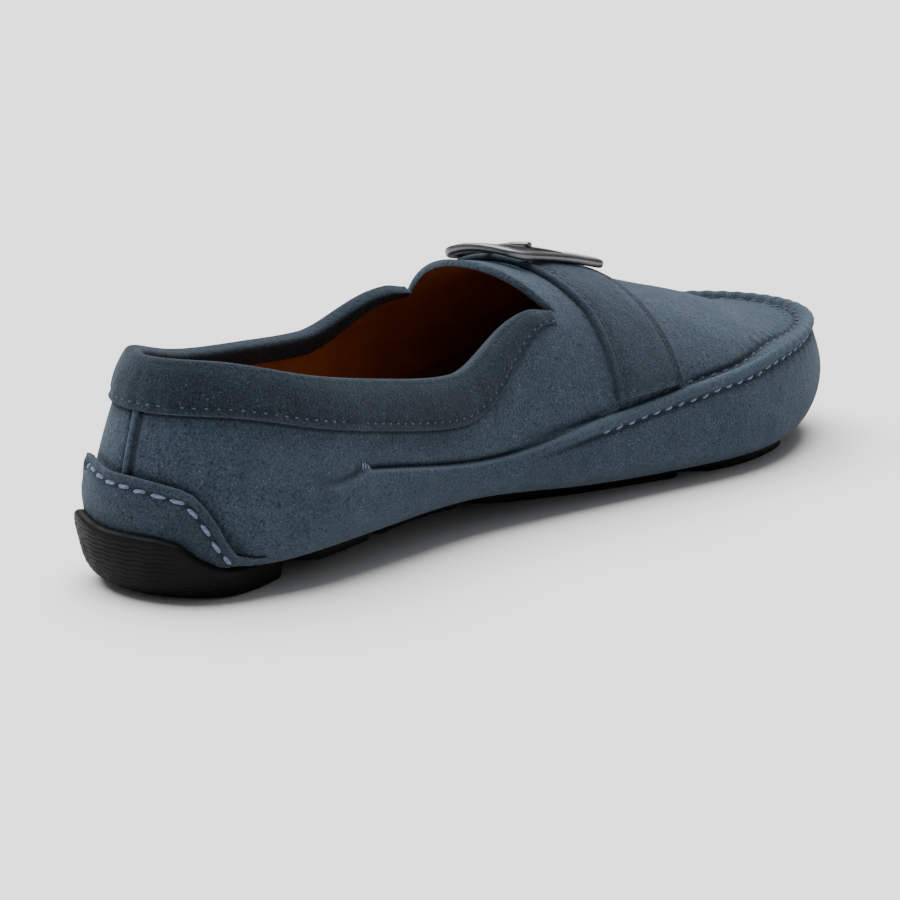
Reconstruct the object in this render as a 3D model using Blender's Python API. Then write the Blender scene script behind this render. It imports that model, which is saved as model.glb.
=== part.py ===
"""Buckle loafer of the driving kind, left shoe, as an assembly of sewn and moulded pieces.

The shoe stands on its treads with the toe towards +X, its outer side towards +Y and +Z up.
Every size below is in millimetres; meshes are written in metres.
"""

from math import pi

import bmesh
import bpy
import numpy as np
from mathutils import Matrix, Vector

MM = 0.001

# Driving sizes of the last and the cut pieces
LENGTH = 286.0
WALL = 2.0
GAP = 0.3
THROAT = 146.0
OPEN_FROM = 100.0
STATIONS = 40
WALL_POWER = 1.3
SEAM_POWER = 1.7
VAMP_POWER = 2.2
TONGUE_REACH = 7.0
TONGUE_FADE = 30.0

# Raised hand-sewn seam: where it dies out in the dart, and how far it stands out
SEAM_END = 52.0
SEAM_FADE = 12.0
SEAM_RIDGE = 1.6
SEAM_LIP = 1.0

# Collar band folded over the topline
BAND_HEIGHT = 12.0
BAND_TURN_IN = 7.0
BAND_THICK = 1.2
FOLD_CLEAR = 0.7
BAND_STOP = 5.0

# Heel wrap, back seam strip, insole
WRAP_THICK = 1.6
WRAP_CLEAR = 0.5
STRIP_WIDTH = 2.4
STRIP_THICK = 1.0
INSOLE_THICK = 3.0
INSOLE_CLEAR = 0.6

# Rubber treads and the windows they stand through
TREAD_DROP = 4.6
TREAD_EDGE = 1.5
TREAD_CHAMFER = 0.8
WINDOW_CLEAR = 0.7
SLICE = 12.0
SHORTEST_EDGE = 2.2
HEEL_TOP = 7.4
HEEL_SHELL = 2.6
HEEL_REACH = 66.0
HEEL_STEPS = 24
HEEL_BOTTOM_EDGE = 1.5
HEEL_CHAMFER = 0.7

# Strap over the vamp and its buckle
STRAP_FROM = 158.0
STRAP_TO = 184.0
STRAP_THICK = 1.8
STRAP_SPAN = 0.96
BUCKLE_LENGTH = 35.0
BUCKLE_WIDTH = 30.0
BUCKLE_BAR = 3.6
BUCKLE_THICK = 2.4
BUCKLE_SHIFT = 4.0

# One row for each section of the last, heel to toe
SECTION_COLUMNS = ("x", "width", "centre", "sole", "edge_medial", "edge_lateral", "recess", "bulge",
                   "seam", "seam_inset", "rim_medial", "rim_lateral", "lean", "crest", "round")
SECTIONS = (
    (0, 0, 0.0, 11.0, 6.0, 6.0, 0.0, 22.0, 30.0, 0.5, 59.6, 59.6, 10.2, 80, 0.50),
    (12, 48, 0.0, 8.8, 6.0, 6.0, 0.0, 22.0, 30.0, 0.5, 58.8, 58.8, 11.0, 80, 0.50),
    (40, 69, 0.0, 8.0, 8.5, 6.0, 0.8, 20.5, 29.8, 0.6, 53.2, 53.0, 9.8, 78, 0.50),
    (75, 70, 1.5, 8.0, 11.0, 5.8, 1.7, 19.5, 25.1, 0.6, 46.4, 49.0, 7.0, 75, 0.50),
    (110, 73, 3.8, 8.2, 9.6, 5.6, 6.0, 17.5, 20.7, 1.0, 43.6, 47.5, 7.0, 73, 0.50),
    (145, 84, 3.5, 5.4, 9.8, 5.5, 6.0, 16.0, 23.4, 2.0, 52.0, 53.0, 12.0, 68, 0.55),
    (180, 94, 2.4, 4.0, 9.0, 5.5, 3.0, 15.5, 27.6, 3.5, 52.0, 52.0, 12.0, 60, 0.65),
    (212, 99, 0.5, 4.0, 8.0, 5.5, 0.5, 15.0, 30.8, 4.6, 52.0, 52.0, 12.0, 51.5, 0.75),
    (242, 88, -0.6, 4.8, 7.0, 5.5, 0.0, 16.0, 33.2, 4.0, 52.0, 52.0, 12.0, 44.6, 0.85),
    (266, 64, -2.0, 7.6, 6.5, 6.0, 0.0, 19.0, 34.4, 4.0, 52.0, 52.0, 12.0, 39.4, 0.95),
    (278, 43, -3.0, 9.8, 6.0, 6.0, 0.0, 20.8, 34.8, 5.0, 52.0, 52.0, 12.0, 37.4, 1.00),
    (286, 0, -3.5, 11.5, 6.0, 6.0, 0.0, 22.0, 35.0, 6.0, 52.0, 52.0, 12.0, 35.2, 1.00),
)

# Height of the heel wrap's and the heel rubber's top edges, by distance from the heel's back
HEEL_EDGE_COLUMNS = ("x", "wrap_medial", "wrap_lateral", "rubber_medial", "rubber_lateral")
HEEL_EDGES = (
    (0.0, 32.0, 32.0, 18.4, 18.4),
    (2.5, 30.8, 33.2, 17.9, 19.6),
    (5.0, 29.7, 33.5, 16.4, 20.0),
    (7.0, 28.2, 33.0, 13.3, 19.0),
    (9.0, 25.0, 31.6, 11.2, 16.6),
    (11.0, 21.4, 28.4, 10.2, 13.8),
    (13.0, 16.8, 23.4, 9.6, 11.6),
    (15.0, 13.8, 18.6, 9.3, 10.2),
    (20.0, 12.2, 13.6, 9.0, 9.2),
    (30.0, 11.6, 12.0, 8.9, 8.9),
    (62.0, 11.6, 12.0, 8.9, 8.9),
)
WRAP_REACH = 20.0
WRAP_FOOT_RISE = 4.2

# Treads lie in a diagonal weave: limits on x + y and on x - y bound each one
FAR = 400.0
TREAD_COLUMNS = ("name", "sum_min", "sum_max", "difference_min", "difference_max")
TREADS = (
    ("tread_toe", 221.0, FAR, 233.0, FAR),
    ("tread_outer_ball", 226.0, FAR, 178.0, 224.0),
    ("tread_inner_ball", 167.0, 210.0, 173.0, FAR),
    ("tread_outer_joint", 168.0, FAR, 113.0, 165.0),
    ("tread_inner_joint", 109.0, 158.0, 113.0, FAR),
    ("tread_outer_waist", 108.0, FAR, 58.0, 105.0),
    ("tread_inner_waist", 61.0, 100.0, 61.0, FAR),
    ("tread_outer_shank", 63.0, FAR, 18.0, 51.0),
    ("tread_inner_shank", 27.0, 54.0, 21.0, FAR),
)
HEEL_SUM = 19.0
HEEL_DIFFERENCE = 12.0

# Inner side of the heel block draws in towards the front; the turned-up lip fades into the block
HEEL_RECESS = 7.5
HEEL_RECESS_FROM = 9.0
HEEL_RECESS_RUN = 32.0
LIP_FADE_FROM = 13.0
LIP_FADE_RUN = 9.0

# Shares of the way over the vamp, from seam to crest, that carry a line of points
VAMP_SHARES = (0.96, 0.86, 0.70, 0.45, 0.22)
SIDE_ROWS = 3

MEDIAL = -1
LATERAL = 1

COLOURS = {
    "suede": (0.050, 0.075, 0.105),
    "suede_band": (0.036, 0.055, 0.076),
    "rubber": (0.018, 0.018, 0.019),
    "lining": (0.30, 0.13, 0.05),
    "gunmetal": (0.12, 0.12, 0.13),
}


def natural_spline(xs, ys):
    """Smooth curve through the rows of a short table."""
    xs = np.asarray(xs, float)
    ys = np.asarray(ys, float)
    count = len(xs)
    step = np.diff(xs)
    matrix = np.zeros((count, count))
    right = np.zeros(count)
    matrix[0, 0] = 1.0
    matrix[-1, -1] = 1.0
    for i in range(1, count - 1):
        matrix[i, i - 1:i + 2] = step[i - 1], 2 * (step[i - 1] + step[i]), step[i]
        right[i] = 6 * ((ys[i + 1] - ys[i]) / step[i] - (ys[i] - ys[i - 1]) / step[i - 1])
    bend = np.linalg.solve(matrix, right)

    def value(x):
        x = min(max(x, xs[0]), xs[-1])
        i = min(max(int(np.searchsorted(xs, x)) - 1, 0), count - 2)
        before = x - xs[i]
        after = xs[i + 1] - x
        h = step[i]
        cubic = (bend[i] * after ** 3 + bend[i + 1] * before ** 3) / (6 * h)
        return float(cubic + (ys[i] / h - bend[i] * h / 6) * after
                     + (ys[i + 1] / h - bend[i + 1] * h / 6) * before)

    return value


def smoothstep(share):
    share = min(max(share, 0.0), 1.0)
    return share * share * (3 - 2 * share)


def angle_at(x):
    """Station angle of a distance from the heel; it crowds the stations at heel and toe."""
    return float(np.arccos(1 - 2 * x / LENGTH))


def table_column(rows, columns, name):
    return [row[columns.index(name)] for row in rows]


SECTION_X = table_column(SECTIONS, SECTION_COLUMNS, "x")
CURVES = {
    name: natural_spline(SECTION_X, table_column(SECTIONS, SECTION_COLUMNS, name))
    for name in SECTION_COLUMNS[2:]
}
WIDTH_CURVE = natural_spline(
    [angle_at(x) for x in SECTION_X], table_column(SECTIONS, SECTION_COLUMNS, "width"))


def distance_at(angle):
    return LENGTH / 2 * (1 - np.cos(angle))


def reading(name, angle):
    """Value of one table column at a station angle."""
    return CURVES[name](distance_at(angle))


def side_reading(name, side, angle):
    suffix = "_medial" if side == MEDIAL else "_lateral"
    return reading(name + suffix, angle)


def outline_point(side, angle):
    """Point on the widest contour, seen from above."""
    half = max(WIDTH_CURVE(angle), 0.0) / 2
    return np.array([distance_at(angle), reading("centre", angle) + side * half])


def outline_normal(side, angle):
    if angle <= 0.0:
        return np.array([-1.0, 0.0])
    if angle >= pi:
        return np.array([1.0, 0.0])
    reach = 0.002
    before = outline_point(side, max(angle - reach, 0.0))
    after = outline_point(side, min(angle + reach, pi))
    along = (after - before) / np.linalg.norm(after - before)
    return side * np.array([-along[1], along[0]])


def inset_point(side, angle, inset, height):
    """Point set in from the widest contour, at a height."""
    place = outline_point(side, angle) - outline_normal(side, angle) * inset
    return np.array([place[0], place[1], height])


def front_weight(angle):
    """0 along the open quarters, 1 on the closed vamp."""
    return smoothstep((distance_at(angle) - OPEN_FROM) / (THROAT - OPEN_FROM))


def quarter_inset(side, angle, height):
    """How far the quarter leans in at a height, below and above its fullest line."""
    bulge = reading("bulge", angle)
    sole = reading("sole", angle)
    if height < bulge:
        share = min(max((height - sole) / (bulge - sole), 0.0), 1.0)
        return side_reading("edge", side, angle) * (1 - np.sin(np.arccos(1 - share)))
    share = (height - bulge) / (side_reading("rim", side, angle) - bulge)
    return reading("lean", angle) * share ** WALL_POWER


def quarter_point(side, angle, height, out=0.0):
    """Point on the quarter at a height, moved out along the surface's own normal."""
    inset = quarter_inset(side, angle, height)
    step = 0.5
    above = quarter_inset(side, angle, height + step)
    slope = (above - quarter_inset(side, angle, height - step)) / (2 * step)
    normal = outline_normal(side, angle)
    outward = np.array([normal[0], normal[1], slope]) / np.hypot(1.0, slope)
    return inset_point(side, angle, inset, height) + outward * out


def seam_height(angle):
    return reading("seam", angle)


def wall_point(side, angle, share):
    """Point between the fullest line and the sewn seam."""
    bulge = reading("bulge", angle)
    height = bulge + (seam_height(angle) - bulge) * share
    weight = front_weight(angle)
    front = reading("seam_inset", angle) * share ** SEAM_POWER
    rear = quarter_inset(side, angle, height)
    return inset_point(side, angle, rear * (1 - weight) + front * weight, height)


def lip_point(side, angle):
    """Foot of the vamp and quarter, just past the sewn seam."""
    weight = front_weight(angle)
    rear_height = seam_height(angle) + SEAM_LIP
    rear = inset_point(side, angle, quarter_inset(side, angle, rear_height), rear_height)
    front_inset = reading("seam_inset", angle) + SEAM_LIP
    front = inset_point(side, angle, front_inset, seam_height(angle) + 0.2 * SEAM_LIP)
    return rear * (1 - weight) + front * weight


def vamp_point(angle, across):
    """Point on the closed vamp; across runs from -1 at the inner seam to 1 at the outer one."""
    inner = lip_point(MEDIAL, angle)
    outer = lip_point(LATERAL, angle)
    place = (inner + outer) / 2 + (outer - inner) / 2 * across
    rise = (1 - abs(across) ** VAMP_POWER) ** reading("round", angle)
    place[2] += max(reading("crest", angle) - place[2], 0.0) * rise
    corner = VAMP_SHARES[SIDE_ROWS - 1]
    if abs(across) < corner:
        near = smoothstep((THROAT + TONGUE_FADE - distance_at(angle)) / TONGUE_FADE)
        place[0] -= TONGUE_REACH * near * (1 - (across / corner) ** 2)
    return place


def vamp_offset(angle, across, out):
    """Point above the vamp along its own normal."""
    small = 0.004
    along = vamp_point(angle + small, across) - vamp_point(angle - small, across)
    sideways = vamp_point(angle, across + small) - vamp_point(angle, across - small)
    normal = np.cross(along, sideways)
    return vamp_point(angle, across) + normal / np.linalg.norm(normal) * out


def side_point(side, angle, row):
    """Point of one of the lines between the seam and the topline."""
    if row == 0:
        return lip_point(side, angle)
    weight = front_weight(angle)
    front = vamp_point(angle, side * VAMP_SHARES[row - 1])
    if weight >= 1:
        return front
    foot = seam_height(angle) + SEAM_LIP
    height = foot + (side_reading("rim", side, angle) - foot) * row / SIDE_ROWS
    rear = inset_point(side, angle, quarter_inset(side, angle, height), height)
    return rear * (1 - weight) + front * weight


def station_angles():
    """Even station angles, with the nearest one moved onto the throat."""
    angles = [pi * i / STATIONS for i in range(STATIONS + 1)]
    throat = angle_at(THROAT)
    nearest = min(range(len(angles)), key=lambda i: abs(angles[i] - throat))
    angles[nearest] = throat
    return angles, nearest


def half_section(side, angle):
    """Points of one half section from the sole's edge up to the side's top line, with ridges."""
    edge = side_reading("edge", side, angle)
    sole = reading("sole", angle)
    bulge = reading("bulge", angle)
    ridge = SEAM_RIDGE * smoothstep((distance_at(angle) - SEAM_END) / SEAM_FADE)
    points = []
    for turn in np.linspace(0, pi / 2, 4):
        height = sole + (bulge - sole) * (1 - np.cos(turn))
        points.append((inset_point(side, angle, edge * (1 - np.sin(turn)), height), 0.0))
    for share, lift in ((0.4, 0.0), (0.75, 0.5), (1.0, 1.0)):
        points.append((wall_point(side, angle, share), ridge * lift))
    points.append((side_point(side, angle, 0), -0.15 * ridge))
    for row in range(1, SIDE_ROWS + 1):
        points.append((side_point(side, angle, row), 0.0))
    return points


def tray_section(angle):
    """Half sections joined across the bottom, inner topline to outer topline."""
    inner = half_section(MEDIAL, angle)
    outer = half_section(LATERAL, angle)
    start = inner[0][0]
    span = outer[0][0] - start
    bottom = [(start + span * share, 0.0) for share in (0.25, 0.5, 0.75)]
    return inner[::-1] + bottom + outer


def vamp_section(angle):
    """Closed top of a section, outer side row over the crest to the inner one."""
    shares = VAMP_SHARES[SIDE_ROWS - 1:]
    steps = list(shares) + [0.0] + [-share for share in shares[::-1]]
    return [(vamp_point(angle, across), 0.0) for across in steps]


def make_material(name, colour, roughness, metallic=0.0):
    material = bpy.data.materials.new(name)
    material.use_nodes = True
    shader = material.node_tree.nodes["Principled BSDF"]
    shader.inputs["Base Color"].default_value = (*colour, 1.0)
    shader.inputs["Roughness"].default_value = roughness
    shader.inputs["Metallic"].default_value = metallic
    return material


def add_object(name, points, faces, material):
    """Closed body from points in millimetres, merged where they meet, faces turned out."""
    mesh = bpy.data.meshes.new(name)
    mesh.from_pydata([Vector(p) * MM for p in points], [], faces)
    work = bmesh.new()
    work.from_mesh(mesh)
    bmesh.ops.remove_doubles(work, verts=work.verts, dist=1e-6)
    bmesh.ops.dissolve_degenerate(work, edges=work.edges, dist=1e-6)
    bmesh.ops.recalc_face_normals(work, faces=work.faces)
    work.to_mesh(mesh)
    work.free()
    mesh.shade_smooth()
    mesh.materials.append(material)
    piece = bpy.data.objects.new(name, mesh)
    bpy.context.scene.collection.objects.link(piece)
    return piece


def grid_faces(rows, columns, start=0):
    """Quads over a grid of points stored row by row."""
    faces = []
    for i in range(rows - 1):
        for j in range(columns - 1):
            a = start + i * columns + j
            faces.append((a, a + 1, a + columns + 1, a + columns))
    return faces


def slab(name, under, over, material):
    """Closed sheet between two grids of points of the same shape."""
    rows = len(under)
    columns = len(under[0])
    count = rows * columns
    points = [p for row in under for p in row] + [p for row in over for p in row]
    faces = grid_faces(rows, columns) + [f[::-1] for f in grid_faces(rows, columns, count)]
    rim = [j for j in range(columns)]
    rim += [i * columns + columns - 1 for i in range(1, rows)]
    rim += [(rows - 1) * columns + j for j in range(columns - 2, -1, -1)]
    rim += [i * columns for i in range(rows - 2, 0, -1)]
    for a, b in zip(rim, rim[1:] + rim[:1]):
        faces.append((a, b, b + count, a + count))
    return add_object(name, points, faces, material)


def channel(name, loops, material):
    """Closed body swept through loops of points, capped at both ends."""
    count = len(loops[0])
    points = [p for loop in loops for p in loop]
    faces = []
    for i in range(len(loops) - 1):
        for j in range(count):
            k = (j + 1) % count
            faces.append((i * count + j, i * count + k, (i + 1) * count + k, (i + 1) * count + j))
    faces.append(tuple(range(count)))
    faces.append(tuple((len(loops) - 1) * count + j for j in range(count)))
    return add_object(name, points, faces, material)


def make_upper(material):
    """Hollow suede upper: tray, quarters and vamp in one wall with the sewn ridge raised on it."""
    angles, throat = station_angles()
    lookup = {}
    base = []
    ridges = []

    def index_of(point, ridge):
        key = tuple(round(c, 3) for c in point)
        if key not in lookup:
            lookup[key] = len(base)
            base.append(Vector(point))
            ridges.append(ridge)
        return lookup[key]

    faces = []
    sheets = ([tray_section(a) for a in angles], [vamp_section(a) for a in angles[throat:]])
    for sheet in sheets:
        rows = [[index_of(*entry) for entry in section] for section in sheet]
        for here, there in zip(rows, rows[1:]):
            for i in range(len(here) - 1):
                corner = [here[i], here[i + 1], there[i + 1], there[i]]
                face = list(dict.fromkeys(corner))
                if len(face) > 2:
                    faces.append(face)

    work = bmesh.new()
    for point in base:
        work.verts.new(point)
    work.verts.ensure_lookup_table()
    for face in faces:
        work.faces.new([work.verts[i] for i in face])
    work.normal_update()
    work.verts.index_update()
    normals = [v.normal.copy() for v in work.verts]
    smooth = normals
    for _ in range(2):
        smooth = [
            (smooth[v.index] + sum((smooth[e.other_vert(v).index] for e in v.link_edges), Vector()))
            .normalized() for v in work.verts
        ]
    rim = []
    for edge in work.edges:
        if edge.is_boundary:
            loop = edge.link_loops[0]
            rim.append((loop.vert.index, loop.link_loop_next.vert.index))
    work.free()

    count = len(base)
    outer = [p + n * r for p, n, r in zip(base, normals, ridges)]
    inner = [p - n * WALL for p, n in zip(base, smooth)]
    shell = [tuple(f) for f in faces]
    shell += [tuple(i + count for i in f[::-1]) for f in faces]
    shell += [(b, a, a + count, b + count) for a, b in rim]
    return add_object("upper", outer + inner, shell, material)


def clip_half_plane(polygon, direction, limit):
    """Part of a plan polygon where direction . point stays under the limit."""
    kept = []
    for here, there in zip(polygon, polygon[1:] + polygon[:1]):
        a = limit - np.dot(direction, here)
        b = limit - np.dot(direction, there)
        if a >= 0:
            kept.append(here)
        if a * b < 0:
            kept.append(here + (there - here) * a / (a - b))
    return kept


def tread_contour(clear):
    """Flat bottom of the tray seen from above, set in by a clearance."""
    angles = np.linspace(0, pi, 61)
    contour = []
    for side, turns in ((LATERAL, angles), (MEDIAL, angles[::-1][1:-1])):
        for angle in turns:
            recess = reading("recess", angle) if side == MEDIAL else 0.0
            inset = side_reading("edge", side, angle) + recess + clear
            contour.append(inset_point(side, angle, inset, 0.0)[:2])
    return contour


def tread_outline(row, clear):
    """Plan outline of one tread: the bottom's contour between its four diagonal limits."""
    limits = dict(zip(TREAD_COLUMNS, row))
    grow = (TREAD_EDGE - clear) * np.sqrt(2)
    outline = tread_contour(clear)
    outline = clip_half_plane(outline, np.array([1.0, 1.0]), limits["sum_max"] + grow)
    outline = clip_half_plane(outline, np.array([-1.0, -1.0]), -limits["sum_min"] + grow)
    outline = clip_half_plane(outline, np.array([1.0, -1.0]), limits["difference_max"] + grow)
    return clip_half_plane(outline, np.array([-1.0, 1.0]), -limits["difference_min"] + grow)


def sole_height(x):
    return CURVES["sole"](x)


def tread_height(x):
    return max(sole_height(x) - TREAD_DROP, 0.0)


def sliced_prism(outline, shortest):
    """Upright prism on a plan outline, cut across the shoe so that it can follow its bottom."""
    work = bmesh.new()
    corners = [work.verts.new((p[0], p[1], 0.0)) for p in outline]
    work.faces.new(corners)
    low = min(p[0] for p in outline)
    high = max(p[0] for p in outline)
    for i in range(1, int((high - low) / SLICE) + 1):
        cut = low + i * SLICE
        geometry = work.verts[:] + work.edges[:] + work.faces[:]
        bmesh.ops.bisect_plane(work, geom=geometry, plane_co=(cut, 0, 0), plane_no=(1, 0, 0))
    bmesh.ops.remove_doubles(work, verts=work.verts, dist=shortest)
    extruded = bmesh.ops.extrude_face_region(work, geom=work.faces[:])
    under = [v for v in extruded["geom"] if isinstance(v, bmesh.types.BMVert)]
    return work, set(under)


def make_tread(row, material):
    """Rubber tread from the insole down through its window to the ground."""
    work, under = sliced_prism(tread_outline(row, TREAD_EDGE), SHORTEST_EDGE)
    for vert in work.verts:
        x = vert.co.x
        vert.co.z = tread_height(x) if vert in under else sole_height(x) + WALL
    bmesh.ops.recalc_face_normals(work, faces=work.faces)
    bottom = [f for f in work.faces if all(v in under for v in f.verts)]
    rim = {v for f in bottom for v in f.verts}
    bmesh.ops.inset_region(work, faces=bottom, thickness=TREAD_CHAMFER, use_even_offset=False)
    inside = {v for f in bottom for v in f.verts}
    for vert in inside:
        vert.co.z = tread_height(vert.co.x)
    for vert in rim - inside:
        vert.co.z += TREAD_CHAMFER
    bmesh.ops.triangulate(work, faces=work.faces)
    work.verts.index_update()
    points = [v.co.copy() for v in work.verts]
    faces = [tuple(v.index for v in f.verts) for f in work.faces]
    work.free()
    return add_object(row[0], points, faces, material)


def make_window_cutter(material):
    """Blocks that open the tray's bottom round every tread."""
    points = []
    faces = []
    for row in TREADS:
        outline = tread_outline(row, TREAD_EDGE - WINDOW_CLEAR)
        work, under = sliced_prism(outline, GAP)
        for vert in work.verts:
            drop = -WALL if vert in under else 2 * WALL
            vert.co.z = sole_height(vert.co.x) + drop
        work.verts.index_update()
        start = len(points)
        points += [v.co.copy() for v in work.verts]
        faces += [tuple(start + v.index for v in f.verts) for f in work.faces]
        work.free()
    cutter = add_object("window_cutter", points, faces, material)
    cutter.hide_render = True
    cutter.display_type = "WIRE"
    return cutter


def heel_edge(name, side, x):
    """Height of a top edge at the heel on one side of the shoe."""
    column = name + ("_medial" if side == MEDIAL else "_lateral")
    xs = table_column(HEEL_EDGES, HEEL_EDGE_COLUMNS, "x")
    return float(np.interp(x, xs, table_column(HEEL_EDGES, HEEL_EDGE_COLUMNS, column)))


def round_the_heel(reach, steps):
    """Side and angle pairs from the inner side round the heel's back to the outer side."""
    far = angle_at(reach)
    turns = [far * i / steps for i in range(steps + 1)]
    inner = [(MEDIAL, t) for t in turns[:0:-1]]
    return inner + [(LATERAL, t) for t in turns]


def make_heel_wrap(material):
    """Suede flap turned up from the bottom round the heel's back."""
    under = []
    over = []
    for side, angle in round_the_heel(WRAP_REACH, 10):
        top = heel_edge("wrap", side, distance_at(angle))
        foot = min(reading("sole", angle) + WRAP_FOOT_RISE, top - 1.0)
        heights = [foot + (top - foot) * i / 5 for i in range(6)]
        under.append([quarter_point(side, angle, z, WRAP_CLEAR) for z in heights])
        over.append([quarter_point(side, angle, z, WRAP_CLEAR + WRAP_THICK) for z in heights])
    return slab("heel_wrap", under, over, material)


def make_back_seam(material):
    """Narrow raised strip over the seam at the heel's back, between band and wrap."""
    low = heel_edge("wrap", MEDIAL, 0.0) + 2 * GAP
    high = reading("rim_medial", 0.0) - BAND_HEIGHT - 3 * GAP
    small = 0.1
    chord = np.linalg.norm(outline_point(LATERAL, small) - outline_point(LATERAL, 0.0))
    half_turn = STRIP_WIDTH / 2 / chord * small
    under = []
    over = []
    for side, angle in ((MEDIAL, half_turn), (LATERAL, 0.0), (LATERAL, half_turn)):
        heights = [low + (high - low) * i / 4 for i in range(5)]
        under.append([quarter_point(side, angle, z, GAP) for z in heights])
        over.append([quarter_point(side, angle, z, GAP + STRIP_THICK) for z in heights])
    return slab("back_seam", under, over, material)


def heel_rubber_loop(side, angle):
    """Profile of the heel rubber: bottom edge, outer face, lip, and back down to the block's top."""
    x = distance_at(angle)
    top = heel_edge("rubber", side, x)
    sole = reading("sole", angle)
    low = min(sole + 2.0, top - 0.4)
    lift = WRAP_CLEAR + WRAP_THICK + GAP
    shell = lift + HEEL_SHELL
    edge = side_reading("edge", side, angle)
    side_inset = quarter_inset(side, angle, top) - shell
    turned_up = [
        inset_point(side, angle, edge + HEEL_BOTTOM_EDGE, 0.0),
        inset_point(side, angle, edge - 1.2, HEEL_CHAMFER),
        inset_point(side, angle, (edge + side_inset) / 2 - 1.4, HEEL_TOP * 0.55),
        quarter_point(side, angle, top - 0.8, shell),
        quarter_point(side, angle, top, shell - 0.9),
        quarter_point(side, angle, top, lift),
        quarter_point(side, angle, (top + low) / 2, lift),
        quarter_point(side, angle, low, lift),
        inset_point(side, angle, edge * 0.8, HEEL_TOP + 0.1),
        inset_point(side, angle, edge + 0.6, HEEL_TOP),
    ]
    if side == MEDIAL:
        edge += HEEL_RECESS * smoothstep((x - HEEL_RECESS_FROM) / HEEL_RECESS_RUN)
    block = [
        inset_point(side, angle, edge + inset, height) for inset, height in (
            (HEEL_BOTTOM_EDGE, 0.0), (-0.3, HEEL_CHAMFER), (-1.0, HEEL_TOP * 0.55), (-1.0, HEEL_TOP - 0.7),
            (-0.7, HEEL_TOP - 0.25), (-0.2, HEEL_TOP), (0.2, HEEL_TOP), (0.6, HEEL_TOP),
            (1.0, HEEL_TOP), (1.4, HEEL_TOP))
    ]
    weight = smoothstep((x - LIP_FADE_FROM) / LIP_FADE_RUN)
    return [a * (1 - weight) + b * weight for a, b in zip(turned_up, block)]


def make_heel_rubber(material):
    """Moulded heel rubber: a flat block notched in front, turned up round the heel's back."""
    loops = []
    for side, angle in round_the_heel(HEEL_REACH, HEEL_STEPS):
        loop = heel_rubber_loop(side, angle)
        x, y = loop[1][:2]
        if (side == MEDIAL and x + y > HEEL_SUM) or (side == LATERAL and x - y > HEEL_DIFFERENCE):
            continue
        loops.append(loop)
    count = len(loops[0])
    notch_x = (HEEL_SUM + HEEL_DIFFERENCE) / 2
    notch_y = (HEEL_SUM - HEEL_DIFFERENCE) / 2
    points = [p for loop in loops for p in loop]
    low_notch = len(points)
    points += [np.array([notch_x, notch_y, 0.0]), np.array([notch_x, notch_y, HEEL_TOP])]
    faces = []
    for i in range(len(loops) - 1):
        for j in range(count - 1):
            a = i * count + j
            faces.append((a, a + 1, a + count + 1, a + count))
    last = (len(loops) - 1) * count
    under = [i * count for i in range(len(loops))]
    over = [i * count + count - 1 for i in range(len(loops))]
    faces.append(tuple(under + [low_notch]))
    faces.append(tuple((over + [low_notch + 1])[::-1]))
    faces.append(tuple([low_notch, low_notch + 1] + list(range(count))[::-1]))
    faces.append(tuple([low_notch + 1, low_notch] + [last + j for j in range(count)]))
    return add_object("heel_rubber", points, faces, material)


def make_insole(material):
    """Leather sock lying on the tray's bottom and on the treads' backs."""
    angles = [a for a in station_angles()[0] if 4.0 < distance_at(a) < LENGTH - 4.0]
    under = []
    over = []
    for angle in angles:
        inner = inset_point(MEDIAL, angle, side_reading("edge", MEDIAL, angle) + INSOLE_CLEAR, 0.0)
        outer = inset_point(LATERAL, angle, side_reading("edge", LATERAL, angle) + INSOLE_CLEAR, 0.0)
        row = []
        for share in np.linspace(0, 1, 5):
            place = inner + (outer - inner) * share
            place[2] = reading("sole", angle) + WALL + GAP
            row.append(place)
        under.append(row)
        over.append([p + np.array([0, 0, INSOLE_THICK]) for p in row])
    return slab("insole", under, over, material)


def make_collar(material):
    """Suede band folded over the topline, stitched outside and turned in along the lining."""
    angles, throat = station_angles()
    turns = angles[:throat] + [angle_at(THROAT - BAND_STOP)]
    path = [(MEDIAL, a) for a in turns[:0:-1]] + [(LATERAL, a) for a in turns]
    outside = GAP + BAND_THICK
    inside = WALL + 2 * GAP
    loops = []
    for side, angle in path:
        rows = [side_point(side, angle, row) for row in range(SIDE_ROWS + 1)]
        lengths = [0.0]
        for a, b in zip(rows, rows[1:]):
            lengths.append(lengths[-1] + np.linalg.norm(b - a))
        near = 0.01
        if angle > near:
            ahead = side_point(side, angle + near, SIDE_ROWS) - side_point(side, angle - near, SIDE_ROWS)
        else:
            ahead = np.array([0.0, float(side), 0.0])
        up = (rows[-1] - rows[-2]) / np.linalg.norm(rows[-1] - rows[-2])
        out = np.cross(up, ahead) * side
        out /= np.linalg.norm(out)

        def along_side(reach):
            return np.array([np.interp(reach, lengths, [r[i] for r in rows]) for i in range(3)])

        def below(depth, offset):
            reach = lengths[-1] - depth
            rise = along_side(reach + 2.0) - along_side(reach - 2.0)
            outward = np.cross(rise, ahead) * side
            return along_side(reach) + outward / np.linalg.norm(outward) * offset

        rim = rows[-1]
        bend = min(lengths[-1] - lengths[-2], BAND_HEIGHT - 1.0)
        loops.append([
            below(BAND_HEIGHT, GAP),
            below(bend, GAP),
            rim + out * GAP + up * FOLD_CLEAR,
            rim - out * inside + up * FOLD_CLEAR,
            below(BAND_TURN_IN, -inside),
            below(BAND_TURN_IN, -inside - BAND_THICK),
            rim - out * (inside + BAND_THICK) + up * 0.4,
            rim - out * (inside + 0.3) + up * (outside + 0.4),
            rim - out * (WALL / 2) + up * (outside + 0.9),
            rim + out * 0.6 + up * (outside + 0.4),
            rim + out * outside + up * 0.2,
            below(bend, outside + 0.2),
            below(BAND_HEIGHT, outside),
        ])
    return channel("collar", loops, material)


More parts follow.
